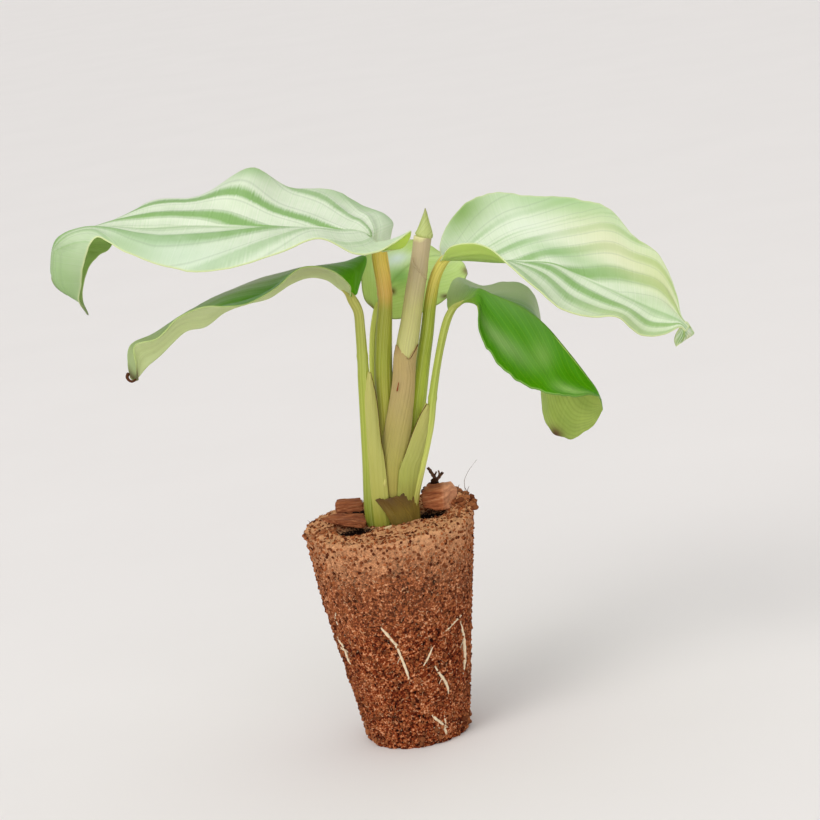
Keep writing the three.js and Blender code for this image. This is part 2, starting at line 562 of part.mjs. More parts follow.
// Blades
const BLADES = [
  ['blade_upper_left', UPPER_LEFT_BLADE, 0xa5c98b],
  ['blade_lower_left', LOWER_LEFT_BLADE, 0x5f9a2a],
  ['blade_upper_right', UPPER_RIGHT_BLADE, 0xa9c98b],
  ['blade_lower_right', LOWER_RIGHT_BLADE, 0x4f9010],
  ['blade_back', BACK_BLADE, 0x7da85a],
];
for (const [name, stations, color] of BLADES) {
  add(name, sheet(bladeSurface(stations, BLADE_STEPS_ALONG, BLADE_STEPS_HALF), BLADE_THICKNESS), color);
}

// Chips and twig
const CHIPS = [
  ['bark_chip_left_back', LEFT_BACK_CHIP],
  ['bark_chip_left_front', LEFT_FRONT_CHIP],
  ['bark_chip_right', RIGHT_CHIP],
];
for (const [name, corners] of CHIPS) add(name, toGeometry(chip(corners)), 0x8e4f35);
add('twig', toGeometry(twig()), 0x3a1a10);

// Peat plug with its roots, the hole that the stems stand in and the seats of the chips and twig
let plug = wasm.Manifold.union([plugBody(), ...ROOTS.map(root)]).subtract(stemHole());
for (const [, corners] of CHIPS) plug = plug.subtract(chip(corners, CLEARANCE));
plug = plug.subtract(twig(CLEARANCE));
add('peat_plug', toGeometry(plug), 0x96603f);

export default group;
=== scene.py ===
# A young calathea orbifolia growing in a small peat plug, resting on a pale floor
# Sizes are in millimetres and become metres where a mesh is made
import math
import random

import bmesh
import bpy
import numpy as np
from mathutils import Matrix, Vector, noise


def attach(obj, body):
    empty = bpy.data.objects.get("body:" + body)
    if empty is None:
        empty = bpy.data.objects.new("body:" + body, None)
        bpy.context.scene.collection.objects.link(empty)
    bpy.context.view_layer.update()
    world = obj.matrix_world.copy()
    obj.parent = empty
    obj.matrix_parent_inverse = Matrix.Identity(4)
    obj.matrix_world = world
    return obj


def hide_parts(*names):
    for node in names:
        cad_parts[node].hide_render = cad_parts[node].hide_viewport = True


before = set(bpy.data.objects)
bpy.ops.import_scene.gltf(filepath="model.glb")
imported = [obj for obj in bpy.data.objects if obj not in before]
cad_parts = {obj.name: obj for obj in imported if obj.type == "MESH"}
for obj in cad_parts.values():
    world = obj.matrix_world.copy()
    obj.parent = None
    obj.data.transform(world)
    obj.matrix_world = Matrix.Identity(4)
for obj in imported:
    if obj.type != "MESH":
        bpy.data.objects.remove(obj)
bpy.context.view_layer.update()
MM = 0.001
# The seed fixes the offsets of vector noise, so that every run gives the same peat
NOISE_SEED = 7
noise.seed_set(NOISE_SEED)

# Camera: a 110 mm lens half a metre away, looking 13 degrees down and rolled by 8.5 degrees
CAMERA_PLACE = (7.79, -483.44, 178.16)
CAMERA_LENS = 110
CAMERA_SENSOR = 36
CAMERA_DOWN = 13
CAMERA_ROLL = 8.5

# Peat plug
PLUG_HEIGHT = 45
PLUG_TOP_RADIUS = 17.3
PLUG_BASE_RADIUS = 10.2
PLUG_RIM_ROUND = 0.9
PLUG_SIDES = 400
PLUG_STEP = 0.27
LUMP_DEPTH = 0.12
GRAIN_DEPTH = 0.22
LUMP_SIZE = 5.5
PORE_SPACING = 0.85
GRAIN_SIZE = 0.42

# Leaf blades
BLADE_THICKNESS = 0.3
BLADE_ROWS = 168
BLADE_HALF = 30

# Finishes: how much plant skin, peat and bark bend light, the tint of light through a leaf, and
# the height above all stalks that their colours by height are a share of
PLANT_IOR = 1.45
LEAF_GLOW = "c4e66a"
PLANT_TOP = 120

# Sheath wings, bark chips, the loose heap of peat on the rim and the floor
WING_RIB_DEPTH = 0.03
WING_RIB_SPACING = 0.7
CHIP_CUTS = 19
BARK_LAYER = 0.42
BARK_FIBRE = 4.5
HEAP_CENTRE = (14.7, 5.6)
HEAP_TOP = 48.1
FLOOR_REACH = 40000

# Leaf blades, base to tip: far margin, midrib, near margin, and how far each half arches
UPPER_LEFT = [
    ((6.8, 1.2, 99.1), (6.4, 0, 99.1), (6.6, -1.2, 98.9), (0, 0)),
    ((8.4, 3.5, 99.7), (6.1, -0.4, 99.9), (11.3, -5.2, 99.9), (0.1, -0.4)),
    ((9.3, 7.0, 101.2), (5.5, -1.0, 101.2), (12.9, -8.4, 103.2), (0.3, -1.6)),
    ((9.8, 10.5, 102.6), (4.4, -2.0, 103.1), (9.5, -12.5, 102.1), (0.5, -1.4)),
    ((8.1, 12.5, 104.4), (2.0, -2.6, 104.3), (5.8, -15.0, 101.2), (0.8, -0.6)),
    ((4.3, 14.0, 106.2), (-0.4, -3.0, 104.8), (1.7, -17.0, 102.0), (0.8, 0.2)),
    ((-1.5, 14.0, 110.3), (-5.7, -4.0, 106.0), (-4.5, -18.0, 106.0), (0.8, 0.4)),
    ((-9.6, 12.0, 112.4), (-12.8, -6.0, 107.6), (-12.7, -20.0, 104.5), (0.8, 0.8)),
    ((-16.3, 9.0, 117.6), (-20.7, -7.0, 108.9), (-25.1, -21.0, 103.3), (1.2, 1.2)),
    ((-26.9, 8.0, 113.7), (-29.3, -8.0, 110.5), (-33.2, -20.0, 105.2), (1.0, 1.2)),
    ((-36.2, 6.0, 114.4), (-37.0, -8.0, 111.1), (-40.3, -19.0, 108.9), (0.8, 1.0)),
    ((-41.7, 4.0, 111.6), (-44.0, -8.0, 112.6), (-43.4, -17.0, 111.0), (0.8, 0.8)),
    ((-45.2, 0, 107.4), (-49.8, -8.0, 112.9), (-45.5, -16.0, 112.1), (0.8, 0.8)),
    ((-47.6, -3.0, 106.6), (-53.9, -10.0, 112.2), (-47.5, -16.0, 110.5), (0.6, 0.6)),
    ((-49.7, -6.0, 104.7), (-55.7, -11.0, 108.0), (-49.2, -15.0, 106.9), (0.5, 0.5)),
    ((-50.8, -9.0, 101.8), (-55.6, -12.0, 103.5), (-50.6, -13.0, 102.9), (0.3, 0.3)),
    ((-50.9, -10.9, 99.3), (-51.3, -11.5, 99.4), (-51.5, -12.0, 99.9), (0, 0)),
    ((-50.3, -10.9, 96.9), (-50.4, -11.0, 96.9), (-50.5, -11.1, 97.0), (0, 0)),
]

LOWER_LEFT = [
    ((0.9, 1.2, 91.0), (0, 0, 90.7), (-0.5, -1.2, 91.2), (0, 0)),
    ((2.0, 4.5, 93.2), (-0.7, 0, 91.6), (-0.3, -2.4, 92.3), (0.1, 0.1)),
    ((3.6, 9.0, 96.7), (-2.1, 0, 92.7), (-0.3, -4.4, 94.0), (0.4, 0.2)),
    ((-0.7, 11.0, 96.0), (-4.4, -1.0, 95.2), (-2.8, -7.0, 97.4), (0.6, 0.5)),
    ((-5.3, 10.0, 96.1), (-7.8, -2.0, 96.4), (-6.3, -9.0, 99.3), (0.6, 0.5)),
    ((-9.9, 9.0, 96.4), (-11.6, -3.0, 95.8), (-9.8, -11.0, 99.4), (0.6, 0.5)),
    ((-15.6, 8.0, 95.9), (-16.2, -3.5, 93.8), (-14.2, -12.0, 96.7), (0.6, 0.5)),
    ((-20.7, 7.0, 95.2), (-20.6, -4.0, 93.4), (-19.7, -13.0, 94.8), (0.6, 0.5)),
    ((-25.5, 5.0, 94.3), (-25.0, -5.0, 92.6), (-23.9, -14.0, 95.0), (0.6, 0.5)),
    ((-30.0, 3.0, 93.1), (-29.0, -6.0, 90.6), (-27.8, -14.0, 95.6), (0.6, 0.5)),
    ((-35.0, 1.0, 91.4), (-33.1, -7.0, 90.3), (-33.2, -14.0, 94.2), (0.6, 0.5)),
    ((-39.9, -1.0, 89.4), (-38.4, -8.0, 86.7), (-37.7, -13.0, 90.8), (0.5, 0.5)),
    ((-44.1, -3.6, 88.5), (-41.0, -9.0, 85.2), (-42.3, -12.6, 90.0), (0.2, 0.2)),
    ((-45.0, -5.6, 85.2), (-43.1, -9.0, 83.2), (-42.8, -12.2, 85.9), (0, 0)),
    ((-44.8, -7.6, 82.8), (-44.1, -9.0, 82.3), (-43.1, -10.4, 82.8), (0, 0)),
]

UPPER_RIGHT = [
    ((18.3, 1.2, 96.0), (18.1, 0, 95.4), (17.9, -1.2, 95.4), (0, 0)),
    ((18.5, 6.0, 97.4), (21.0, -1.0, 95.3), (20.1, -5.0, 98.4), (0.6, 0.3)),
    ((20.5, 10.0, 100.3), (24.3, -1.0, 94.7), (23.9, -8.0, 99.1), (0.8, 0.4)),
    ((24.3, 12.0, 103.5), (28.6, -2.0, 93.9), (27.4, -12.0, 98.2), (1.0, 0.4)),
    ((30.4, 13.0, 105.0), (33.8, -2.0, 93.0), (30.9, -16.0, 94.6), (1.2, 0.4)),
    ((37.7, 12.0, 103.3), (39.5, -3.0, 91.9), (35.1, -18.0, 90.0), (1.2, 0.8)),
    ((45.9, 11.0, 101.8), (44.7, -3.5, 88.6), (39.1, -18.0, 85.7), (1.2, 1.0)),
    ((52.2, 9.0, 99.3), (49.6, -4.5, 85.6), (44.6, -17.0, 83.2), (1.0, 0.8)),
    ((56.4, 6.0, 93.9), (54.0, -5.5, 82.9), (49.6, -16.0, 82.2), (0.8, 0.8)),
    ((60.9, 2.0, 89.0), (57.7, -6.5, 80.7), (53.5, -14.0, 77.7), (0.6, 0.8)),
    ((62.7, -2.0, 82.6), (60.2, -7.5, 79.4), (58.4, -11.0, 76.5), (0.4, 0.4)),
    ((62.6, -6.6, 78.6), (62.1, -8.0, 78.0), (61.7, -9.0, 77.0), (0, 0)),
    ((63.8, -8.0, 76.9), (63.4, -8.3, 76.4), (62.8, -8.8, 76.0), (0, 0)),
]

LOWER_RIGHT = [
    ((18.3, 1.2, 84.4), (19.4, 0.4, 85.6), (20.5, -0.1, 86.4), (0, 0)),
    ((18.2, 4.2, 86.0), (21.2, -0.2, 86.5), (22.3, -0.9, 86.5), (0.2, 0)),
    ((18.9, 8.5, 87.7), (22.8, -0.6, 87.5), (23.9, -5.0, 86.0), (0.5, 0)),
    ((21.2, 9.6, 89.6), (24.7, -1.0, 88.9), (23.4, -8.2, 83.6), (0.8, 0.5)),
    ((25.7, 9.0, 87.4), (27.0, -2.0, 87.7), (23.4, -10.0, 81.1), (0.8, 1.4)),
    ((30.1, 9.0, 87.5), (29.9, -3.0, 86.1), (25.1, -12.0, 77.4), (0.8, 1.6)),
    ((34.9, 9.0, 85.6), (32.9, -4.0, 84.1), (27.7, -13.0, 74.1), (0.8, 1.6)),
    ((36.2, 8.0, 79.4), (35.6, -5.0, 81.6), (30.4, -13.0, 71.3), (0.6, 1.6)),
    ((34.5, 5.0, 67.1), (38.0, -6.0, 78.4), (33.3, -13.0, 69.8), (1.0, 1.4)),
    ((34.6, 4.0, 58.0), (40.7, -7.0, 74.0), (36.2, -14.5, 68.9), (1.5, 1.5)),
    ((38.3, 3.0, 55.6), (42.9, -8.0, 70.1), (39.8, -14.0, 67.8), (1.4, 1.0)),
    ((42.8, -1.5, 58.0), (44.2, -9.0, 67.5), (42.4, -12.6, 67.3), (0.9, 0.4)),
    ((45.1, -7.0, 62.6), (44.8, -9.5, 65.1), (44.3, -11.0, 66.3), (0, 0)),
]

BACK = [
    ((3.6, 4.2, 87.0), (4.3, 4.0, 86.7), (5.0, 3.8, 86.3), (0, 0)),
    ((2.1, 5.0, 89.3), (5.1, 5.0, 88.4), (7.3, 4.0, 84.4), (0.4, 0.4)),
    ((2.3, 8.0, 93.2), (7.0, 8.0, 90.0), (12.2, 6.0, 84.3), (0.6, 0.8)),
    ((3.6, 13.0, 96.2), (9.4, 12.0, 91.6), (16.9, 10.0, 85.3), (0.8, 0.8)),
    ((7.5, 20.0, 96.9), (12.2, 18.0, 92.4), (20.6, 16.0, 86.1), (0.8, 0.8)),
    ((11.7, 27.0, 96.0), (15.3, 25.0, 92.2), (23.3, 24.0, 87.4), (0.8, 0.8)),
    ((15.8, 33.0, 94.0), (18.3, 32.0, 91.0), (23.1, 32.0, 88.8), (0.6, 0.6)),
    ((19.9, 40.0, 89.3), (20.5, 40.3, 88.6), (21.3, 39.8, 88.1), (0, 0)),
]

CURLED_TIP = [
    ((63.5, -7.6, 77.5), (62.6, -8.2, 77.3), (61.9, -8.8, 76.8), (0, 0)),
    ((64.3, -6.8, 75.8), (62.6, -8.8, 76.1), (61.2, -8.0, 75.7), (0.2, 0.2)),
    ((64.6, -6.4, 74.7), (62.4, -9.0, 74.9), (60.7, -7.6, 74.3), (0.3, 0.3)),
    ((62.9, -7.2, 74.1), (61.7, -8.6, 73.8), (60.8, -8.0, 73.2), (0, 0)),
]

STALK_UPPER_LEFT = [
    (6.6, -0.4, 99.9, 1.3, 1.2),
    (6.4, 0, 98.0, 1.55, 1.5),
    (6.4, 0, 93.0, 1.5, 1.4),
    (6.1, 0.3, 88.7, 1.4, 1.4),
    (5.0, 0.6, 82.8, 1.6, 1.5),
    (3.7, 0.8, 74.6, 1.8, 1.6),
    (3.0, 0.9, 66.3, 1.8, 1.6),
    (2.5, 1.0, 58.9, 1.8, 1.6),
    (2.0, 1.0, 51.7, 1.9, 1.6),
    (0.4, 1.0, 39.3, 1.7, 1.5),
]

STALK_LOWER_LEFT = [
    (-2.6, -0.2, 93.4, 0.2, 0.2),
    (-1.1, -0.1, 91.9, 0.55, 0.5),
    (-0.2, 0, 90.2, 0.95, 0.95),
    (0.6, -0.3, 87.7, 0.95, 0.95),
    (0.5, -0.6, 84.5, 0.97, 0.95),
    (0, -1.0, 77.6, 1.08, 1.0),
    (-0.3, -1.1, 74.6, 1.15, 1.0),
    (-0.8, -1.2, 69.4, 1.15, 1.0),
    (-1.5, -1.4, 62.1, 1.15, 1.05),
    (-1.9, -1.5, 57.1, 1.25, 1.1),
    (-2.7, -1.4, 48.6, 1.4, 1.2),
    (-2.9, -1.0, 40.4, 1.4, 1.3),
]

STALK_UPPER_RIGHT = [
    (20.0, -0.1, 95.9, 0.75, 0.6),
    (18.4, 0.2, 94.9, 1.0, 0.95),
    (16.5, 0.9, 91.9, 1.1, 1.1),
    (14.9, 1.4, 87.2, 1.2, 1.2),
    (13.4, 1.6, 81.3, 1.3, 1.3),
    (11.7, 1.8, 75.2, 1.4, 1.4),
    (9.6, 1.9, 67.1, 1.5, 1.4),
    (7.2, 1.9, 57.9, 1.6, 1.4),
    (4.8, 1.8, 50.0, 1.6, 1.4),
    (2.4, 1.6, 38.8, 1.4, 1.3),
]

STALK_LOWER_RIGHT = [
    (22.0, 0.1, 86.7, 0.2, 0.2),
    (20.4, 0, 86.2, 0.42, 0.4),
    (18.8, -0.5, 85.3, 0.7, 0.7),
    (17.1, -1.0, 82.5, 0.78, 0.8),
    (14.9, -1.3, 76.6, 0.72, 0.8),
    (12.8, -1.5, 69.6, 0.8, 0.85),
    (11.5, -1.7, 64.3, 0.85, 0.9),
    (10.2, -1.8, 60.4, 0.9, 0.9),
    (8.1, -1.8, 54.8, 0.95, 0.95),
    (6.2, -1.7, 49.6, 1.0, 1.0),
    (3.4, -1.3, 39.5, 1.0, 1.0),
]

STALK_BACK = [
    (4.9, 4.6, 88.0, 0.6, 0.6),
    (4.2, 4.1, 86.1, 0.85, 0.8),
    (2.9, 4.0, 81.8, 0.8, 0.8),
    (1.8, 3.9, 74.4, 0.85, 0.85),
    (1.2, 3.7, 64.6, 1.0, 0.95),
    (1.1, 3.5, 54.3, 1.1, 1.0),
    (0.2, 3.2, 39.1, 1.1, 1.0),
]

SPEAR_SHEATH = [
    (15.25, 0, 100.5, 1.75, 1.7),
    (14.1, 0, 96.4, 1.72, 1.7),
    (13.3, 0, 93.5, 1.84, 1.8),
    (12.1, -0.1, 89.7, 1.9, 1.85),
    (10.5, -0.2, 84.1, 2.0, 1.9),
    (9.1, -0.3, 79.5, 2.15, 1.9),
    (7.4, -0.4, 72.8, 2.0, 1.8),
    (5.9, -0.5, 64.9, 1.9, 1.8),
    (4.4, -0.5, 56.9, 1.9, 1.8),
    (2.8, -0.5, 48.8, 1.9, 1.7),
    (1.2, -0.5, 39.6, 1.6, 1.6),
]

ROLLED_LEAF = [
    (16.5, 0.3, 105.9, 0.08, 0.08),
    (16.4, 0.3, 105.0, 0.36, 0.35),
    (16.05, 0.2, 103.2, 0.95, 0.88),
    (15.75, 0.1, 101.7, 1.5, 1.4),
    (15.5, 0, 100.8, 1.8, 1.68),
    (15.35, 0, 100.4, 1.5, 1.4),
    (14.9, 0, 99.2, 1.3, 1.2),
]
SPEAR_WRAP = [
    ((7.0, -1.3, 80.2), (8.9, -2.4, 77.2), (11.2, -1.4, 79.7), (0, 0)),
    ((6.2, -1.4, 77.6), (8.5, -2.5, 75.7), (10.5, -1.5, 77.6), (0.2, 0.2)),
    ((5.5, -1.4, 74.0), (7.8, -2.4, 73.4), (9.7, -1.5, 73.6), (0.2, 0.2)),
    ((4.4, -1.3, 70.0), (6.8, -2.4, 69.8), (8.9, -1.5, 69.4), (0.2, 0.2)),
    ((2.9, -1.2, 65.4), (5.6, -2.5, 65.4), (7.8, -1.7, 64.8), (0.25, 0.2)),
    ((1.7, -0.8, 61.5), (4.6, -2.5, 61.5), (6.9, -1.8, 60.9), (0.3, 0.3)),
    ((-0.1, -1.0, 55.6), (2.7, -2.6, 55.6), (5.6, -1.8, 54.9), (0.4, 0.3)),
    ((-1.1, -1.0, 48.5), (1.5, -2.5, 48.5), (4.2, -1.6, 47.8), (0.4, 0.3)),
    ((-1.8, -0.8, 41.2), (0.4, -2.1, 41.3), (2.8, -1.4, 40.7), (0.3, 0.3)),
]

WING_LOWER_LEFT = [
    ((0.8, -1.9, 75.8), (1.0, -2.2, 75.7), (1.2, -2.0, 75.6), (0, 0)),
    ((-0.1, -1.9, 72.7), (0.7, -2.4, 72.7), (1.4, -1.6, 72.4), (0.1, 0.1)),
    ((-0.8, -2.0, 69.6), (0.5, -2.5, 69.5), (1.5, -1.5, 69.1), (0.2, 0.15)),
    ((-1.5, -2.2, 62.3), (0.1, -2.9, 62.3), (1.2, -2.2, 61.9), (0.2, 0.15)),
    ((-1.9, -2.3, 58.5), (-0.1, -3.0, 58.4), (1.3, -2.6, 58.1), (0.2, 0.15)),
    ((-2.5, -2.3, 50.1), (-0.5, -3.1, 50.0), (1.0, -2.9, 49.7), (0.2, 0.15)),
    ((-3.0, -1.8, 41.7), (-1.2, -2.7, 41.7), (0.2, -2.5, 41.4), (0.2, 0.1)),
]

WING_LOWER_RIGHT = [
    ((11.1, -2.3, 67.9), (11.3, -2.5, 67.7), (11.6, -2.2, 67.4), (0, 0)),
    ((9.6, -2.3, 65.6), (10.5, -2.8, 65.5), (11.4, -2.2, 65.3), (0.1, 0.1)),
    ((7.4, -2.6, 61.9), (9.0, -3.1, 61.8), (10.4, -2.3, 61.3), (0.15, 0.2)),
    ((5.5, -2.8, 58.3), (7.4, -3.2, 58.1), (9.1, -2.3, 57.6), (0.15, 0.25)),
    ((4.1, -2.9, 55.7), (6.2, -3.3, 55.5), (8.1, -2.3, 54.9), (0.15, 0.25)),
    ((2.7, -2.9, 49.5), (4.4, -3.2, 49.3), (6.0, -2.2, 48.8), (0.15, 0.2)),
    ((0.8, -2.3, 41.3), (2.4, -2.7, 41.1), (3.8, -1.9, 40.7), (0.15, 0.2)),
]

SPEAR_SEAM = [
    (12.5, -1.2, 97.0), (12.6, -1.6, 95.7), (13.2, -1.9, 94.7), (14.0, -1.8, 93.7), (14.8, -0.9, 92.2),
]
RIM_HAIR = [
    (16.4, 5, 47.4), (16.5, 5, 49.2), (17.1, 5, 50.4), (17.9, 5, 51.5), (18.9, 5, 52.5), (19.7, 5, 53.3),
]
# Dry dark margins of the sheaths, a small tear in the middle one, a pale bud scale, a bud
# at the foot and the dry curl at the end of the lower left leaf
DRY_MARGINS = [
    [(11.25, -1.6, 79.7), (10.2, -2.35, 78.4), (9.3, -2.7, 77.4), (8.5, -2.75, 77.5)],
    [
        (1.25, -2.15, 75.7), (1.5, -1.8, 72.5), (1.6, -1.8, 69.2), (1.3, -2.4, 62.0), (1.4, -2.8, 58.2),
        (1.1, -3.1, 50.0),
    ],
    [(11.2, -2.6, 67.8), (9.5, -2.5, 65.6), (7.3, -2.8, 61.9), (5.4, -3.0, 58.3), (4.0, -3.1, 55.7)],
]
SHEATH_TEAR = [(5.8, -2.55, 71.3), (6.1, -2.65, 72.1), (6.4, -2.6, 73.0)]
PALE_SCALE = [
    (-1.6, -7.0, 44.9, 0.1, 0.1), (-0.9, -7.3, 45.0, 0.32, 0.12), (0.1, -7.3, 45.3, 0.4, 0.14),
    (0.9, -7.0, 45.6, 0.12, 0.1),
]
FOOT_BUD = [
    (0.9, -3.0, 54.2, 0.08, 0.08), (0.75, -3.25, 53.5, 0.26, 0.2), (0.7, -3.15, 52.9, 0.3, 0.2),
    (0.7, -2.9, 52.5, 0.1, 0.1),
]
DRY_CURL = [
    (-44.9, -9.6, 84.1), (-45.1, -10.4, 83.6), (-44.8, -10.7, 83.0), (-44.2, -10.8, 82.7),
    (-43.7, -10.5, 82.9), (-43.2, -9.9, 82.9),
]

# Roots on the plug's side: angle in degrees with the front at -90, and height
ROOTS = [
    ([(-148, 30.4), (-150.5, 28.2), (-150, 26)], 0.33),
    ([(-161, 24.8), (-157.9, 23.2), (-152, 21.8), (-151, 19.2), (-147, 17.6)], 0.38),
    ([(-163, 21.8), (-157, 21.4), (-151, 21.2)], 0.38),
    ([(-107, 27.3), (-104, 26.3), (-101, 25), (-97, 23), (-94.4, 20.1), (-92, 17.1), (-91, 14.5)], 0.41),
    ([(-130.5, 22), (-125, 22.1)], 0.31),
    ([(-27, 26.2), (-35.6, 25.5), (-43.8, 24.9), (-52, 24), (-58.4, 23.3)], 0.26),
    ([(-34.8, 24.6), (-31, 20.4), (-28.8, 15.7), (-30.8, 12.2)], 0.54),
    ([(-22.5, 29.2), (-23.4, 26.6)], 0.38),
    ([(-47.3, 30.6), (-48, 28.4)], 0.36),
    ([(-65.8, 21.7), (-70, 20.2), (-73.2, 19), (-78.6, 17.2)], 0.31),
    ([(-66.7, 17.3), (-62.8, 15.3), (-58, 13.5), (-54.9, 11.7), (-53, 9.7)], 0.41),
    ([(-70.6, 12.2), (-71.3, 10.4)], 0.36),
    ([(-76, 7.8), (-71, 5.9), (-63.6, 4.2), (-60.6, 2.6), (-58, 1.2)], 0.44),
    ([(-73.6, 3.8), (-65, 3.5), (-54.6, 2.9)], 0.33),
    ([(-60.2, 6.2), (-59.8, 4.4), (-61.4, 2.4)], 0.28),
    ([(-10, 5.6), (-9, 2.2)], 0.26),
    ([(30, 30), (38, 24), (35, 18), (41, 13)], 0.44),
    ([(75, 22), (84, 17), (80, 11)], 0.41),
    ([(118, 33), (112, 27), (119, 21)], 0.44),
    ([(150, 20), (158, 14), (154, 8)], 0.44),
    ([(12, 18), (4, 13), (8, 7)], 0.38),
    ([(178, 31), (170, 25), (176, 19)], 0.36),
    ([(60, 9), (70, 6.5), (82, 6)], 0.33),
]
# Short side roots: angle, height, and how far each reaches to its right, or to its left below 0
SIDE_ROOTS = [
    (-99, 24.2, 1.4), (-95, 20.6, -1.2), (-63, 4.2, 2.2), (-31, 20, -1.6), (-152, 21.8, 2.4),
    (-60, 14.2, -1.3),
]
ROOT_STEP = 0.35
ROOT_SIDES = 8

# Bark chips lying on the peat, as the corners of a rough block
LEFT_BACK_CHIP = [
    (-10.1, 3.2, 45.6), (-4.5, 2.8, 45.3), (-9.6, 6.4, 45.2), (-5.2, 6.6, 45.3), (-9.9, 3.2, 48.6),
    (-4.3, 2.7, 48.3), (-9.5, 6.2, 49.1), (-4.8, 6.3, 48.8),
]
LEFT_FRONT_CHIP = [
    (-13, -1.5, 47), (-9.3, 1.5, 46.5), (-4.5, 1.5, 45.5), (-4.1, -2.8, 44.9), (-5.2, -4, 45.1),
    (-7.1, -4, 45.8), (-9.1, -3.9, 46.4), (-10.4, -2.6, 46.8), (-12.9, -1.5, 47.8), (-9.3, 1.6, 47.5),
    (-4.4, 1.6, 46.6), (-4, -2.8, 45.9), (-5.3, -4.1, 46), (-9, -4, 47.1),
]
RIGHT_CHIP = [
    (7.3, -0.3, 46.4), (11.5, -1.4, 45.4), (14.5, 3.3, 45.4), (13.6, 5.4, 45.4), (8.4, 4.8, 45.2),
    (7.6, 0.4, 49.6), (12.1, 0.4, 49.8), (14.9, 4.4, 47.9), (13.8, 5.5, 49.3), (9, 5, 49.8),
]

# Twig: a stem and two arms, each a path with its half widths
TWIG_STEM = [(11, 6.5, 43.8, 0.5, 0.5), (10.8, 6.4, 46.5, 0.45, 0.45), (10.8, 6, 50.3, 0.46, 0.46)]
TWIG_LEFT_ARM = [
    (10.85, 6.02, 49.9, 0.38, 0.38), (10.3, 5.8, 51.6, 0.34, 0.34), (9.6, 5.6, 52.9, 0.26, 0.26),
]
TWIG_RIGHT_ARM = [(10.7, 5.97, 49.8, 0.36, 0.36), (11.8, 6, 50.8, 0.3, 0.3), (12.5, 5.8, 51.4, 0.24, 0.24)]

# Old dried sheath: part of a ring round the foot of the stems, wider at its torn top edge
OLD_SHEATH_CENTRE = (1.4, 0.3)
OLD_SHEATH_RADII = (6.2, 4.1)
OLD_SHEATH_HEIGHTS = (43.2, 50.3)
OLD_SHEATH_THICKNESS = 0.22
OLD_SHEATH_BOTTOM_ARC = (-93, -34)
OLD_SHEATH_TOP_ARC = (-119, -27)

# Veins of one half of a blade: where a vein would meet the midrib as a share of the blade's length,
# how far along it has run when it reaches the margin, half the width of its green band, and its strength
UPPER_LEFT_FAR_VEINS = [
    (0.03, 0.13, 0.05, 0.45), (0.03, 0.24, 0.11, 0.8), (0.145, 0.5, 0.1, 1), (0.33, 0.6, 0.18, 1),
]
UPPER_LEFT_NEAR_VEINS = [(0.03, 0.13, 0.1, 0.5), (0.09, 0.32, 0.1, 0.6), (0.22, 0.62, 0.2, 0.95)]
UPPER_RIGHT_FAR_VEINS = [
    (-0.12, 0.68, 0.09, 0.55), (0.03, 0.68, 0.05, 0.45), (0.13, 0.67, 0.16, 0.75), (0.3, 0.66, 0.16, 0.85),
    (0.52, 0.66, 0.24, 1),
]
UPPER_RIGHT_NEAR_VEINS = [(-0.05, 0.5, 0.2, 0.6), (0.05, 0.95, 0.17, 0.8), (0.2, 1.5, 0.2, 0.95)]
GREEN_VEINS = [
    (-0.2, 0.6, 0.1, 0.5), (-0.02, 0.62, 0.1, 0.5), (0.16, 0.64, 0.1, 0.5), (0.34, 0.66, 0.1, 0.5),
    (0.52, 0.66, 0.1, 0.5),
]


def linear(hex_code):
    """Linear colour of an sRGB hex value such as 'a1b2c3'"""
    parts = [int(hex_code[k:k + 2], 16) / 255 for k in (0, 2, 4)]
    return tuple(c / 12.92 if c <= 0.04045 else ((c + 0.055) / 1.055) ** 2.4 for c in parts) + (1.0,)


def add_node(tree, kind, inputs=(), stops=(), out=0, **settings):
    """Adds a node and gives one of its outputs. Inputs, in order or by name, are values, hex colours or
    other nodes' outputs; stops are the (place, hex colour or grey level) pairs of a colour ramp."""
    node = tree.nodes.new(kind)
    for key, value in settings.items():
        setattr(node, key, value)
    pairs = inputs.items() if isinstance(inputs, dict) else enumerate(inputs)
    for key, value in pairs:
        socket = node.inputs[key]
        if isinstance(value, bpy.types.NodeSocket):
            tree.links.new(value, socket)
        elif socket.type == "RGBA" and isinstance(value, str):
            socket.default_value = linear(value)
        else:
            socket.default_value = value
    for _ in stops[2:]:
        node.color_ramp.elements.new(1.0)
    for k, (place, _) in enumerate(stops):
        node.color_ramp.elements[k].position = place
    for k, (_, colour) in enumerate(stops):
        shade = linear(colour) if isinstance(colour, str) else (colour, colour, colour, 1)
        node.color_ramp.elements[k].color = shade
    return node.outputs[out] if len(node.outputs) else node


def new_finish(name, roughness, **sockets):
    """A material with one main shader: returns the material, its tree and the shader"""
    material = bpy.data.materials.new(name)
    material.use_nodes = True
    tree = material.node_tree
    tree.nodes.clear()
    inputs = {"Roughness": roughness, "IOR": PLANT_IOR}
    for key, value in sockets.items():
        inputs[key.replace("_", " ")] = value
    skin = add_node(tree, "ShaderNodeBsdfPrincipled", inputs)
    add_node(tree, "ShaderNodeOutputMaterial", (skin,))
    return material, tree, skin.node


def grains(tree, size, detail=2.0, stretch=(1, 1, 1), roughness=0.5):
    """Noise with features of the given size in mm, stretched along an axis of the object where asked"""
    place = add_node(tree, "ShaderNodeTexCoord", out="Object")
    scale = [1000 / (size * s) for s in stretch]
    mapped = add_node(tree, "ShaderNodeMapping", {"Vector": place, "Scale": scale})
    inputs = {"Vector": mapped, "Scale": 1.0, "Detail": detail, "Roughness": roughness}
    return add_node(tree, "ShaderNodeTexNoise", inputs, out="Fac")


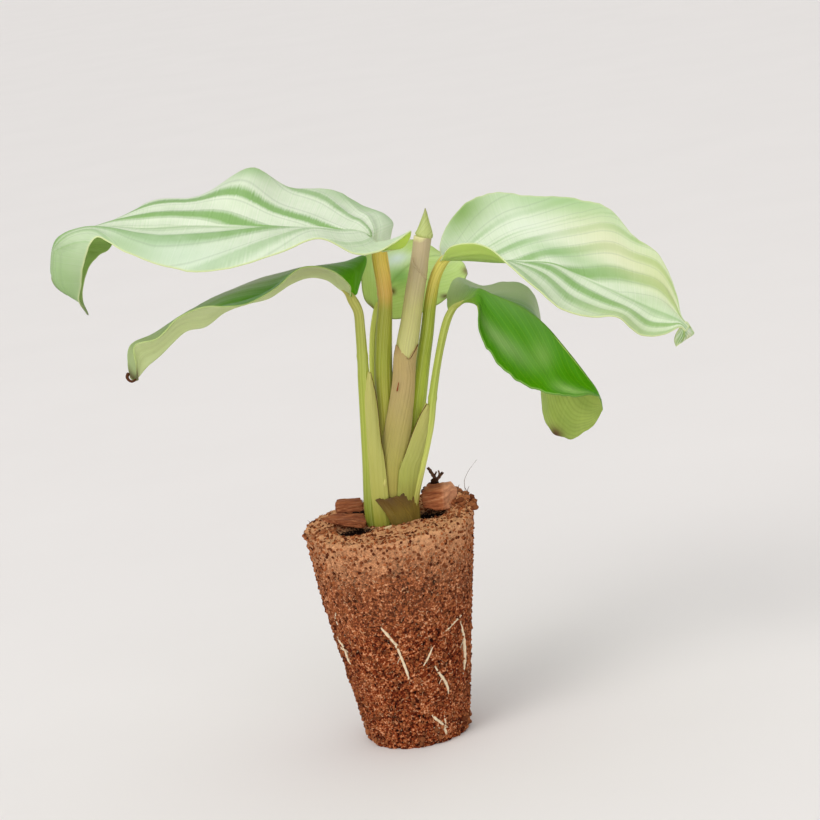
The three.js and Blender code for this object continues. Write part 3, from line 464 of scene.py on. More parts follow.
def stripes(tree, name, size, detail=1.0):
    """Noise along a number that the piece keeps in mm"""
    kept = add_node(tree, "ShaderNodeAttribute", out="Fac", attribute_name=name)
    run = add_node(tree, "ShaderNodeMath", (kept, 1 / size), operation="MULTIPLY")
    inputs = {"W": run, "Scale": 1.0, "Detail": detail}
    return add_node(tree, "ShaderNodeTexNoise", inputs, out="Fac", noise_dimensions="1D")


def uneven(tree, value, swing, size, detail=2.0, stretch=(1, 1, 1)):
    """A number that wanders up and down over patches of the given size in mm"""
    inputs = (grains(tree, size, detail, stretch), swing, -swing / 2)
    shift = add_node(tree, "ShaderNodeMath", inputs, operation="MULTIPLY_ADD")
    return add_node(tree, "ShaderNodeMath", (value, shift), operation="ADD")


def coated(tree, colour, coat, share, amount=1.0, how="MIX"):
    """Lays a second colour over the first, as far as a pattern and an amount say"""
    if amount != 1.0:
        share = add_node(tree, "ShaderNodeMath", (share, amount), operation="MULTIPLY")
    inputs = {0: share, 6: colour, 7: coat}
    return add_node(tree, "ShaderNodeMix", inputs, out=2, data_type="RGBA", blend_type=how)


def marked(tree, colour, marks):
    """Lays each of a blade's marks over its skin"""
    for key, (hex_code, strength) in marks.items():
        mark = add_node(tree, "ShaderNodeAttribute", out="Fac", attribute_name=key)
        colour = coated(tree, colour, hex_code, mark, strength)
    return colour


def near_to(tree, value, centre, reach):
    """1 where a value is at the centre, falling to 0 at the reach"""
    offset = add_node(tree, "ShaderNodeMath", (value, centre), operation="SUBTRACT")
    away = add_node(tree, "ShaderNodeMath", (offset,), operation="ABSOLUTE")
    share = add_node(tree, "ShaderNodeMath", (away, reach), operation="DIVIDE")
    falling = add_node(tree, "ShaderNodeMath", (1.0, share), operation="SUBTRACT")
    return add_node(tree, "ShaderNodeMath", (falling, 0.0), operation="MAXIMUM")


def vein_lines(tree, count, width):
    """Fine lines that run with the veins, this many between the blade's foot and its midrib"""
    vein = add_node(tree, "ShaderNodeAttribute", out="Fac", attribute_name="vein")
    counted = add_node(tree, "ShaderNodeMath", (vein, count), operation="MULTIPLY")
    within = add_node(tree, "ShaderNodeMath", (counted,), operation="FRACT")
    return near_to(tree, within, 0.5, width)


def beside(tree, name, reach):
    """1 on the midrib ("off") or on the margin ("inset"), falling to 0 at this distance in mm"""
    distance = add_node(tree, "ShaderNodeAttribute", out="Fac", attribute_name=name)
    return near_to(tree, distance, 0.0, reach)


def lay_skin(tree, shader, colour, height=None, depth=0.1, strength=1.0):
    """Gives a finish its colour and, where it has one, its fine relief of the given depth in mm"""
    tree.links.new(colour, shader.inputs["Base Color"])
    if height is not None:
        inputs = {"Height": height, "Strength": strength, "Distance": depth * MM}
        tree.links.new(add_node(tree, "ShaderNodeBump", inputs), shader.inputs["Normal"])


def along(points, place):
    """A smooth curve through a list of points of any size, read at a list of places"""
    points = np.asarray(points, float)
    place = np.asarray(place, float)
    last = len(points) - 1
    start = np.minimum(np.floor(place).astype(int), last - 1)
    points = np.vstack([2 * points[0] - points[1], points, 2 * points[-1] - points[-2]])
    share = (place - start)[..., None]
    a, b, c, d = (points[start + k] for k in range(4))
    curve = 2 * b + (c - a) * share + (2 * a - 5 * b + 4 * c - d) * share**2
    return 0.5 * (curve + (3 * b - a - 3 * c + d) * share**3)


def unit(vectors):
    length = np.linalg.norm(vectors, axis=-1, keepdims=True)
    return vectors / np.maximum(length, 1e-9)


def distances(points):
    """How far along its path each point lies; on a surface, how far along its own row"""
    steps = np.linalg.norm(np.diff(points, axis=-2), axis=-1)
    start = np.zeros(steps.shape[:-1] + (1,))
    return np.concatenate([start, np.cumsum(steps, axis=-1)], axis=-1)


def grid_faces(rows, columns, first=0, closed=False):
    """Four-sided faces of a grid of points, kept row by row"""
    faces = []
    for i in range(rows - 1):
        for j in range(columns if closed else columns - 1):
            k = (j + 1) % columns
            a, b = first + i * columns, first + (i + 1) * columns
            faces.append((a + j, a + k, b + k, b + j))
    return faces


def add_object(name, data):
    """Puts a mesh, a lamp or a camera in the scene"""
    added = bpy.data.objects.new(name, data)
    bpy.context.scene.collection.objects.link(added)
    return added


def make_piece(name, points, faces, materials, kinds=None, numbers=None):
    """A smooth mesh with outward faces, kept in metres; numbers are kept for each point by name"""
    mesh = bpy.data.meshes.new(name)
    mesh.from_pydata((np.asarray(points, float) * MM).tolist(), [], faces)
    for material in materials:
        mesh.materials.append(material)
    if kinds is not None:
        mesh.polygons.foreach_set("material_index", kinds)
    for key, values in (numbers or {}).items():
        layer = mesh.attributes.new(key, "FLOAT", "POINT")
        layer.data.foreach_set("value", np.asarray(values, float).ravel())
    shape = bmesh.new()
    shape.from_mesh(mesh)
    bmesh.ops.recalc_face_normals(shape, faces=shape.faces)
    shape.to_mesh(mesh)
    shape.free()
    mesh.shade_smooth()
    return add_object(name, mesh)


def joined(name, parts, material_list):
    """One piece from (points, faces, numbers) parts of the same kind"""
    points, faces, numbers = [], [], {}
    for part_points, part_faces, part_numbers in parts:
        first = len(points)
        points.extend(np.asarray(part_points, float).reshape(-1, 3).tolist())
        faces.extend(tuple(first + k for k in face) for face in part_faces)
        for key, values in part_numbers.items():
            numbers.setdefault(key, []).extend(np.asarray(values, float).ravel().tolist())
    return make_piece(name, points, faces, material_list, numbers=numbers)


def belongs(piece, slot, *nodes):
    """Every piece rides on the plant's one body and replaces its solids; its slot is not used"""
    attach(piece, "root")
    if nodes:
        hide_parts(*nodes)


def blade_surface(stations, rows, half):
    """The middle surface of a blade: a curved sheet between its far margin, midrib and near margin"""
    far, rib, near, arch = (np.array([s[k] for s in stations], float) for k in range(4))
    last = len(stations) - 1
    place = np.linspace(0, last, rows + 1)
    middle = along(rib, place)
    forward = along(rib, np.minimum(place + 0.05, last)) - along(rib, np.maximum(place - 0.05, 0))
    arches = along(arch, place)
    share = np.linspace(0, 1, half + 1)
    halves = []
    for side, margin in enumerate((far, near)):
        edge = along(margin, place) - middle
        up = unit(np.cross(edge, forward)) * (1 - 2 * side)
        lift = arches[:, side:side + 1] * 4 * share * (1 - share)
        halves.append(middle[:, None] + edge[:, None] * share[:, None] + up[:, None] * lift[..., None])
    return np.concatenate([halves[0][:, :0:-1], halves[1]], axis=1)


def sheet_normals(surface):
    """Which way each point of a sheet faces"""
    ahead = np.gradient(surface, axis=0)
    across = np.gradient(surface, axis=1)
    return unit(np.cross(ahead, across))


def sheet_skins(surface, thickness, top):
    """Points of a thin sheet: its top skin, its underside and the ridge that rounds its edge"""
    normals = sheet_normals(surface) * top
    rows, columns = surface.shape[:2]
    rim = [(0, j) for j in range(columns)] + [(i, columns - 1) for i in range(1, rows)]
    rim += [(rows - 1, j) for j in range(columns - 2, -1, -1)] + [(i, 0) for i in range(rows - 2, 0, -1)]
    upper = (surface + normals * thickness / 2).reshape(-1, 3)
    lower = (surface - normals * thickness / 2).reshape(-1, 3)
    ridge = []
    for i, j in rim:
        inside = surface[min(max(i, 1), rows - 2), min(max(j, 1), columns - 2)]
        ridge.append(surface[i, j] + unit(surface[i, j] - inside) * thickness * 0.5)
    count = rows * columns
    faces = grid_faces(rows, columns) + grid_faces(rows, columns, count)
    kinds = [0] * (len(faces) // 2) + [1] * (len(faces) // 2)
    spread = [i * columns + j for i, j in rim]
    for n, here in enumerate(spread):
        after = (n + 1) % len(spread)
        there = spread[after]
        faces.append((here, there, 2 * count + after, 2 * count + n))
        faces.append((2 * count + n, 2 * count + after, count + there, count + here))
        kinds += [2, 2]
    return np.vstack([upper, lower, np.array(ridge)]), faces, kinds, spread


def on_skins(numbers, spread):
    """Repeats a sheet's numbers for its top skin, its underside and its ridge"""
    kept = {}
    for key, values in numbers.items():
        flat = np.ascontiguousarray(values).reshape(-1)
        kept[key] = np.concatenate([flat, flat, flat[spread]])
    return kept


def vein_count(run, share, veins, turn):
    """How many veins lie between the margin's foot and each point of one half, as a smooth number.
    Past the turn the veins bend back towards the midrib and meet it at the tip."""
    counted = np.zeros((len(run), len(share)))
    for i, t in enumerate(run):
        bend = min(1.0, max(0.02, 1 - (t - turn) / 0.3))
        lines = np.minimum.accumulate([(t - start) / slant for start, slant, *_ in veins])
        lines = np.where(lines > 0, lines * bend, lines)
        lines = lines - 1e-4 * np.arange(len(lines))
        lines = np.concatenate([[lines[0] + 0.35], lines, [lines[-1] - 0.35]])
        counted[i] = np.interp(share, lines[::-1], np.arange(len(lines))[::-1])
    return counted


def blade_numbers(surface, half, far_veins, near_veins, marks, turn):
    """What a blade's finish reads: veins, run in mm, distances from midrib and margin, and marks"""
    run = distances(surface[:, half])
    share = run / run[-1]
    width = distances(surface)
    off = np.abs(width - width[:, half:half + 1])
    inset = np.minimum(width, width[:, -1:] - width)
    inset = np.minimum(inset, run[-1] - run[:, None])
    columns = np.linspace(-1, 1, 2 * half + 1)
    far = vein_count(share, -columns[:half], far_veins, turn) / (len(far_veins) + 1)
    near = vein_count(share, columns[half:], near_veins, turn) / (len(near_veins) + 1)
    numbers = {
        "vein": np.concatenate([far, near], axis=1),
        "across": np.broadcast_to(columns, off.shape),
        "run": np.broadcast_to(run[:, None], off.shape),
        "off": off,
        "inset": inset,
    }
    for key, (t, s, reach_t, reach_s) in marks.items():
        away = ((share[:, None] - t) / reach_t) ** 2 + ((columns[None] - s) / reach_s) ** 2
        numbers[key] = np.exp(-away)
    return numbers


def corrugation(numbers, far_count, near_count, depth):
    """The blade's gentle ridges follow its veins and die out at the margin and the tip"""
    count = np.where(numbers["across"] < 0, far_count + 1, near_count + 1)
    wave = np.cos(2 * math.pi * numbers["vein"] * count)
    fade = np.clip(numbers["inset"] / 4, 0, 1) * np.clip(numbers["off"] / 1.5, 0, 1)
    rib = np.exp(-(numbers["off"] / 0.7) ** 2) * np.clip(numbers["inset"] / 5, 0, 1)
    return depth * wave * fade - 0.22 * rib


def rough_margin(surface, depth):
    """Lets a blade's margins wander in and out a little, as a real leaf's do"""
    rows, columns = surface.shape[:2]
    middle = columns // 2
    rib = surface[:, middle]
    for j in range(columns):
        share = abs(j - middle) / middle
        for i in range(rows):
            x, y, z = surface[i, 0 if j < middle else -1]
            bite = noise.noise(Vector((x, y, z)) / 5) + 0.5 * noise.noise(Vector((x, y, z)) / 1.6)
            surface[i, j] += (surface[i, j] - rib[i]) * share**3 * bite * depth
    return surface


def make_blade(name, slot, stations, top, finishes, veins, marks, depth, nodes=(), rows=BLADE_ROWS,
               turn=1.0, rough=0.03):
    """A leaf blade: its top is 1 where the skin that shows lies on the surface's own side, else -1"""
    far_veins, near_veins = veins
    surface = rough_margin(blade_surface(stations, rows, BLADE_HALF), rough)
    numbers = blade_numbers(surface, BLADE_HALF, far_veins, near_veins, marks, turn)
    relief = corrugation(numbers, len(far_veins), len(near_veins), depth)
    surface = surface + sheet_normals(surface) * top * relief[..., None]
    points, faces, kinds, spread = sheet_skins(surface, BLADE_THICKNESS, top)
    piece = make_piece(name, points, faces, finishes, kinds, on_skins(numbers, spread))
    belongs(piece, slot, *nodes)


def vein_bands(tree, veins, between, foot, heart):
    """How green the skin is from the blade's foot (0) to its midrib (1): 1 on a vein, less between"""
    total = len(veins) + 1
    comb = add_node(tree, "ShaderNodeMath", (stripes(tree, "run", 0.4), 0.5), operation="SUBTRACT")
    vein = add_node(tree, "ShaderNodeAttribute", out="Fac", attribute_name="vein")
    place = add_node(tree, "ShaderNodeMath", (comb, 0.07 / total, vein), operation="MULTIPLY_ADD")
    stops = [(0.0, foot)]
    for k, (_, _, width, strength) in enumerate(veins, 1):
        before = foot if k == 1 else between
        stops += [((k - width * 1.7) / total, before), ((k - width * 0.6) / total, strength)]
        stops += [((k + width * 0.6) / total, strength), ((k + width * 1.7) / total, between)]
    stops += [((total - 0.4) / total, between), (1.0, heart)]
    return add_node(tree, "ShaderNodeValToRGB", (place,), stops)


def leaf_finish(tree, shader, colour, roughness_range, relief, see_through):
    """Ends a leaf's finish: gloss that varies a little, fine relief and some light passing through"""
    lay_skin(tree, shader, colour, relief, 0.05, 0.6)
    low, high = roughness_range
    inputs = (grains(tree, 2.4, 3), high - low, low)
    rough = add_node(tree, "ShaderNodeMath", inputs, operation="MULTIPLY_ADD")
    tree.links.new(rough, shader.inputs["Roughness"])
    glow = coated(tree, colour, LEAF_GLOW, 0.5)
    through = add_node(tree, "ShaderNodeBsdfTranslucent", {"Color": glow})
    both = add_node(tree, "ShaderNodeMixShader", (see_through, shader.outputs[0], through))
    output = [n for n in tree.nodes if n.type == "OUTPUT_MATERIAL"][0]
    tree.links.new(both, output.inputs[0])


def striped_leaf_skin(name, veins, silver, green, marks):
    """Upper skin of the young round leaves: silvery bands between green veins, under a thin waxy
    cuticle that gives a soft satin sheen. The cross lines between the veins are about 0.5 mm apart."""
    material, tree, shader = new_finish(name, 0.4)
    far = vein_bands(tree, veins[0], 0.05, 0.22, 0.28)
    near = vein_bands(tree, veins[1], 0.12, 0.3, 0.6)
    across = add_node(tree, "ShaderNodeAttribute", out="Fac", attribute_name="across")
    is_near = add_node(tree, "ShaderNodeMath", (across, 0.0), operation="GREATER_THAN")
    bands = uneven(tree, coated(tree, far, near, is_near), 0.4, 3.2, 3)
    pale = coated(tree, *silver, stripes(tree, "run", 0.3, 0.0))
    deep = coated(tree, *green, stripes(tree, "run", 0.4))
    colour = marked(tree, coated(tree, pale, deep, bands), marks)
    far_lines, near_lines = (2.0 * (len(half) + 1) for half in veins)
    inputs = (is_near, near_lines - far_lines, far_lines)
    fine = vein_lines(tree, add_node(tree, "ShaderNodeMath", inputs, operation="MULTIPLY_ADD"), 0.08)
    colour = coated(tree, colour, "8fa287", fine, 0.26)
    colour = coated(tree, colour, "a9c98f", beside(tree, "off", 0.45), 0.5)
    colour = coated(tree, colour, "dbe6b0", beside(tree, "inset", 0.4), 0.6)
    inputs = (fine, -0.6, stripes(tree, "run", 0.42))
    relief = add_node(tree, "ShaderNodeMath", inputs, operation="MULTIPLY_ADD")
    leaf_finish(tree, shader, colour, (0.36, 0.48), relief, 0.2)
    return material


def green_leaf_skin(name, shade_hexes, marks):
    """Upper skin of the older leaves: deep green under a glossy cuticle, with faint paler veins"""
    material, tree, shader = new_finish(name, 0.3, Specular_IOR_Level=0.08)
    dark, light = shade_hexes
    colour = coated(tree, dark, light, grains(tree, 6.0, 3))
    veins = vein_lines(tree, 3.0 * (len(GREEN_VEINS) + 1), 0.2)
    colour = coated(tree, colour, "8cc41e", veins, 0.16)
    colour = coated(tree, colour, dark, stripes(tree, "run", 0.5), 0.22)
    colour = marked(tree, colour, marks)
    colour = coated(tree, colour, "8ab352", beside(tree, "off", 0.6), 0.5)
    colour = coated(tree, colour, "b9cf84", beside(tree, "inset", 0.3), 0.55)
    inputs = (veins, 0.8, stripes(tree, "run", 0.6))
    relief = add_node(tree, "ShaderNodeMath", inputs, operation="MULTIPLY_ADD")
    leaf_finish(tree, shader, colour, (0.26, 0.36), relief, 0.1)
    return material


def leaf_underside(name, shade_hexes, marks, see_through=0.28):
    """Underside of a leaf: paler, dull and faintly ribbed by the veins, with no wax to shine"""
    material, tree, shader = new_finish(name, 0.6)
    dark, light = shade_hexes
    colour = coated(tree, dark, light, grains(tree, 5.0, 3))
    veins = vein_lines(tree, 24.0, 0.3)
    colour = coated(tree, colour, dark, veins, 0.45)
    colour = coated(tree, colour, light, stripes(tree, "run", 0.45), 0.25)
    # Some undersides carry marks of painted glow, light that passes through the leaf
    colour = marked(tree, colour, marks)
    colour = coated(tree, colour, light, beside(tree, "off", 0.7), 0.6)
    leaf_finish(tree, shader, colour, (0.52, 0.66), veins, see_through)
    return material


def leaf_margin(name, hex_pair, marks):
    """The leaf's thin translucent edge, which catches the light as a pale line"""
    material, tree, shader = new_finish(name, 0.45)
    colour = coated(tree, *hex_pair, grains(tree, 1.5, 2))
    lay_skin(tree, shader, marked(tree, colour, marks))
    return material


def by_height(tree, stops, swing, size, stretch=(1, 1, 1)):
    """Colours by height, from (height in mm, hex colour) stops; their borders wander a little"""
    place = add_node(tree, "ShaderNodeTexCoord", out="Object")
    height = add_node(tree, "ShaderNodeSeparateXYZ", (place,), out="Z")
    height = uneven(tree, height, swing * MM, size, 2, stretch)
    share = add_node(tree, "ShaderNodeMath", (height, PLANT_TOP * MM), operation="DIVIDE")
    stops = [(z / PLANT_TOP, hex_code) for z, hex_code in sorted(stops)]
    return add_node(tree, "ShaderNodeValToRGB", (share,), stops)


def petiole_skin(name, stops, rib_depth=0.05, rib_shade=1.0):
    """Fleshy leaf stalk: a smooth waxy skin with fine lengthwise ribs, coloured by height"""
    material, tree, shader = new_finish(name, 0.42)
    colour = by_height(tree, stops, 1.6, 1.2, (1, 1, 3))
    streaks = stripes(tree, "around", 0.36, 2.0)
    blot = grains(tree, 0.8, 2, (1, 1, 7))
    groove = add_node(tree, "ShaderNodeValToRGB", (streaks,), [(0.3, 0.34), (0.5, 0.0)])
    ridge = add_node(tree, "ShaderNodeValToRGB", (streaks,), [(0.5, 0.0), (0.68, 0.22)])
    colour = coated(tree, colour, "76802c", groove, rib_shade)
    colour = coated(tree, colour, "d9dc9c", ridge, rib_shade)
    colour = coated(tree, colour, "5e6f1e", blot, 0.3, "SOFT_LIGHT")
    relief = add_node(tree, "ShaderNodeMath", (blot, 0.4, streaks), operation="MULTIPLY_ADD")
    lay_skin(tree, shader, colour, relief, rib_depth, 0.7)
    return material


def papery_sheath(name, stops, line_hex):
    """Thin dry sheath: papery and dull, with close lengthwise veins that show darker"""
    material, tree, shader = new_finish(name, 0.62)
    colour = by_height(tree, stops, 2.4, 2.0)
    lines = stripes(tree, "around", 0.3, 2.0)
    colour = coated(tree, colour, line_hex, lines, 0.5)
    colour = coated(tree, colour, "efe6c0", grains(tree, 1.4, 3, (1, 1, 2.5)), 0.4, "SOFT_LIGHT")
    lay_skin(tree, shader, colour, lines, 0.08, 0.8)
    return material


def peat_finish(name, stops, fleck_hex):
    """Pressed peat and coir: dry, porous and dull, tan on its raised grains; the dark in its pores and
    hollows is painted shade
    """
    material, tree, shader = new_finish(name, 0.95, Specular_IOR_Level=0.15)
    # The lift number is low in the pores and hollows, and its dark end paints shade there
    lift = add_node(tree, "ShaderNodeAttribute", out="Fac", attribute_name="lift")
    inputs = (grains(tree, 0.4, 3, roughness=0.7), 2.1, -1.08)
    speckle = add_node(tree, "ShaderNodeMath", inputs, operation="MULTIPLY_ADD")
    level = add_node(tree, "ShaderNodeMath", (lift, speckle), operation="ADD")
    level = uneven(tree, level, 0.3, 5)
    colour = add_node(tree, "ShaderNodeValToRGB", (level,), stops)
    fleck_stops = [(0, 0.0), (0.66, 0.0), (0.71, 1.0)]
    fleck = add_node(tree, "ShaderNodeValToRGB", (grains(tree, 0.5, 1),), fleck_stops)
    colour = coated(tree, colour, fleck_hex, fleck, 0.6)
    # The upper part is paler, on its raised grains most of all
    height = add_node(tree, "ShaderNodeAttribute", out="Fac", attribute_name="height")
    dry_stops = [(0.5, 0.0), (0.76, 0.14), (0.95, 0.56), (1, 0.76)]
    dry = add_node(tree, "ShaderNodeValToRGB", (uneven(tree, height, 0.3, 7, 3),), dry_stops)
    raised = add_node(tree, "ShaderNodeValToRGB", (level,), [(0.01, 0.0), (0.12, 0.3), (0.55, 0.95)])
    dry = add_node(tree, "ShaderNodeMath", (dry, raised), operation="MULTIPLY")
    colour = coated(tree, colour, "dca577", dry)
    lay_skin(tree, shader, colour, grains(tree, 0.35, 4, roughness=0.7), 0.14, 0.9)
    return material


def crumb_finish(name, dark, light):
    """Loose crumbs, fibres and dry bits: each one its own shade, dull and rough"""
    material, tree, shader = new_finish(name, 0.92, Specular_IOR_Level=0.15)
    shade = add_node(tree, "ShaderNodeAttribute", out="Fac", attribute_name="shade")
    colour = add_node(tree, "ShaderNodeValToRGB", (shade,), [(0, dark), (1, light)])
    lay_skin(tree, shader, coated(tree, colour, dark, grains(tree, 0.3, 2), 0.5))
    return material


def root_finish(name):
    """Living feeder roots: cream, slightly translucent and smooth, with brown peat stuck to them"""
    material, tree, shader = new_finish(name, 0.5)
    colour = coated(tree, "f0e2c6", "dcc299", grains(tree, 0.8, 2))
    dirt_stops = [(0, 0.0), (0.6, 0.0), (0.7, 0.7)]
    dirt = add_node(tree, "ShaderNodeValToRGB", (grains(tree, 0.5, 3),), dirt_stops)
    colour = coated(tree, colour, "9a6a44", dirt)
    lay_skin(tree, shader, colour, grains(tree, 0.3, 2), 0.05, 0.6)
    return material


def bark_finish(name, stretch, stops, cut_end=None):
    """Dry bark: layered, fibrous wood that splits along its grain; past the cut end, in mm
    along x, the fresh break is lighter"""
    material, tree, shader = new_finish(name, 0.8, Specular_IOR_Level=0.25)
    layers = grains(tree, 0.5, 4, stretch, 0.65)
    colour = add_node(tree, "ShaderNodeValToRGB", (layers,), stops)
    colour = coated(tree, colour, stops[1][1], grains(tree, 2.5, 2), 0.4)
    if cut_end is not None:
        place = add_node(tree, "ShaderNodeTexCoord", out="Object")
        x = add_node(tree, "ShaderNodeSeparateXYZ", (place,), out="X")
        inputs = (x, 1 / MM, -cut_end)
        past = add_node(tree, "ShaderNodeMath", inputs, operation="MULTIPLY_ADD", use_clamp=True)
        fresh = add_node(tree, "ShaderNodeMath", (layers, 0.1), operation="ADD")
        share = add_node(tree, "ShaderNodeMath", (past, fresh), operation="MULTIPLY")
        colour = coated(tree, colour, "e8a880", share)
    lay_skin(tree, shader, colour, layers, 0.2, 0.9)
    return material


def elliptic_tube(path, steps, sides, section=None):
    """Points and faces of a stalk through [x, y, z, half width, half depth] places, from the top down"""
    last = len(path) - 1
    place = np.linspace(0, last, steps + 1)
    centre = along(path, place)
    ends = [along(path, np.clip(place + shift, 0, last))[:, :3] for shift in (0.05, -0.05)]
    forward = unit(ends[0] - ends[1])
    depth = unit(np.array([0, 1, 0]) - forward * forward[:, 1:2])
    width = np.cross(depth, forward)
    angle = np.linspace(0, 2 * math.pi, sides, endpoint=False)
    run = distances(centre[:, :3])[:, None]
    swell = 0 if section is None else section(run, angle[None], centre)
    across = (centre[:, 3:4] + swell) * np.cos(angle)
    deep = (centre[:, 4:5] + swell) * np.sin(angle)
    points = centre[:, None, :3] + width[:, None] * across[..., None] + depth[:, None] * deep[..., None]
    faces = grid_faces(steps + 1, sides, closed=True)
    faces.append(tuple(range(sides)))
    faces.append(tuple(steps * sides + k for k in range(sides)))
    mean = centre[:, 3:4] * 0.5 + centre[:, 4:5] * 0.5
    round_mm = np.abs(np.sin(angle / 2)) * math.pi * mean
    numbers = {"around": round_mm, "run": np.broadcast_to(run, round_mm.shape)}
    return points.reshape(-1, 3), faces, numbers


def stalk_ribs(count, depth, node_run=None):
    """Fine ribs along a stalk, and a ring where its sheath opens"""
    def section(run, angle, centre):
        ribs = depth * np.cos(count * angle + 0.25 * np.sin(run / 6))
        if node_run is not None:
            ribs = ribs + 0.1 * np.exp(-((run - node_run) / 0.5) ** 2)
        return ribs
    return section


def thin_sheath(stations, rows=90, half=14, thickness=0.32):
    """A sheath's open wing: a thin curved sheet with lengthwise ribs"""
    surface = blade_surface(stations, rows, half)
    width = distances(surface)
    run = np.broadcast_to(distances(surface[:, half])[:, None], width.shape)
    ribs = WING_RIB_DEPTH * np.cos(width * 2 * math.pi / WING_RIB_SPACING)
    surface = surface + sheet_normals(surface) * ribs[..., None]
    points, faces, _, spread = sheet_skins(surface, thickness, 1)
    return points, faces, on_skins({"around": width, "run": run}, spread)


def plug_radius(height):
    """The plug widens evenly from its foot to its top"""
    return PLUG_BASE_RADIUS + (PLUG_TOP_RADIUS - PLUG_BASE_RADIUS) * height / PLUG_HEIGHT


def peat_lift(x, y, z):
    """Height of the peat's surface at a place: lumps, grains and open pores, in mm"""
    lump = noise.noise(Vector((x, y, z)) / LUMP_SIZE)
    bend = noise.noise_vector(Vector((x + 7, y, z)) / 1.1) * 0.4
    grain = noise.fractal(Vector((x + 40, y, z)) / (2 * GRAIN_SIZE), 0.6, 2.0, 3)
    near = noise.voronoi((Vector((x, y, z + 9)) + bend) / PORE_SPACING)[0][0]
    open_here = 0.5 + 0.9 * noise.noise(Vector((x, y - 30, z)) / 2.4)
    hollow = max(0.0, 1 - near / 0.5) * min(1.0, max(0.0, open_here))
    pore_depth = 0.3 + 0.45 * min(1.0, max(0.0, (PLUG_HEIGHT - 2 - z) / 12))
    return LUMP_DEPTH * lump + GRAIN_DEPTH * grain - pore_depth * hollow + 0.1


def plug_outline():
    """Radius, height and outward slope from the foot of the plug, over its rim, to the middle"""
    slope = math.atan2(PLUG_TOP_RADIUS - PLUG_BASE_RADIUS, PLUG_HEIGHT)
    outline = []
    side_top = PLUG_HEIGHT - PLUG_RIM_ROUND
    count = round(side_top / PLUG_STEP)
    for k in range(count + 1):
        z = side_top * k / count
        outline.append((plug_radius(z), z, math.cos(slope), -math.sin(slope)))
    for k in range(1, 8):
        turn = math.radians(90) * k / 8
        r = plug_radius(side_top) - PLUG_RIM_ROUND * (1 - math.cos(turn))
        outline.append((r, side_top + PLUG_RIM_ROUND * math.sin(turn), math.cos(turn), math.sin(turn)))
    inner = plug_radius(side_top) - PLUG_RIM_ROUND
    count = round(inner / (PLUG_STEP * 1.25))
    for k in range(count):
        outline.append((inner * (1 - k / count), PLUG_HEIGHT, 0, 1))
    return outline


def top_lump(x, y):
    """Broad unevenness of the plug's top: a raised lump at the front left and a hollow by the stems"""
    front_left = 1.1 * math.exp(-((x + 12.3) ** 2 + (y + 5.6) ** 2) / 7)
    back_right = 2.2 * math.exp(-((x - 14.6) ** 2 + (y - 5.2) ** 2) / 9)
    left_worn = 1.1 * math.exp(-((x + 16.8) ** 2 + (y + 1) ** 2) / 14)
    return front_left + back_right - left_worn - 2.6 * dark_hollow(x, y)


def dark_hollow(x, y):
    """1 in the hollows round the stems' foot and under the bark chips, else 0: there the top sinks and is
    darkened as painted shadow
    """
    by_stems = 0.3 * math.exp(-((x - 0.5) ** 2 / 26 + (y + 2.6) ** 2 / 8))
    under_left = math.exp(-((x + 6.4) ** 2 / 9 + (y + 4.8) ** 2 / 5))
    under_right = math.exp(-((x - 8.0) ** 2 / 9 + (y + 0.4) ** 2 / 4))
    return min(1.0, max(by_stems, under_left, under_right))


def plug_point(r, z, out, up, angle):
    """A place on the plug's surface, with its peat's relief, and how raised that spot is, lowered in the
    hollows as painted shadow
    """
    x, y = r * math.cos(angle), r * math.sin(angle)
    lift = peat_lift(x, y, z)
    fade = min(1.0, z / 0.3)
    chipped = max(0.0, 1 - z / 2.2) * max(0.0, noise.noise(Vector((x, y, z)) / 1.8) + 0.15)
    worn = 0.9 * math.exp(-((angle - math.pi - 0.3) / 0.6) ** 2) * min(1.0, max(0.0, (z - 32) / 12))
    shift = fade * lift * (1.25 if up > 0.9 else 1) - 1.1 * chipped - worn * (1 - max(0.0, up))
    high = top_lump(x, y) * max(0.0, up) ** 2
    out *= shift
    point = (x + out * math.cos(angle), y + out * math.sin(angle), z + shift * up * fade + high)
    return point, lift - 2 * dark_hollow(x, y) * max(0.0, up)


def make_plug():
    """The pressed plug: rings of points from its foot over its rim to the middle of its top"""
    points = []
    lifts = []
    outline = plug_outline()
    for r, z, out, up in outline:
        for j in range(PLUG_SIDES):
            point, lift = plug_point(r, z, out, up, 2 * math.pi * j / PLUG_SIDES)
            points.append(point)
            lifts.append(lift)
    faces = grid_faces(len(outline), PLUG_SIDES, closed=True)
    faces.append(tuple(reversed(range(PLUG_SIDES))))
    top = len(points)
    points.append((0, 0, PLUG_HEIGHT))
    lifts.append(0.1)
    first = top - PLUG_SIDES
    faces += [(first + j, first + (j + 1) % PLUG_SIDES, top) for j in range(PLUG_SIDES)]
    # Low lift darkens the peat's colour: painted shade in the pores and painted shadow in the hollows
    lift = np.clip(0.55 + np.array(lifts) * 1.1, -1.2, 1)
    numbers = {"lift": lift, "height": np.array([point[2] for point in points]) / PLUG_HEIGHT}
    stops = [
        (0.0, "100301"), (0.24, "2c0c04"), (0.45, "5a1e0a"), (0.62, "803516"), (0.8, "ae6236"),
        (1.0, "dea178"),
    ]
    finish = peat_finish("Pressed_peat_and_coir", stops, "e6bb92")
    piece = make_piece("peat_plug_surface", points, faces, [finish], numbers=numbers)
    belongs(piece, "peat", "peat_plug")
    return piece


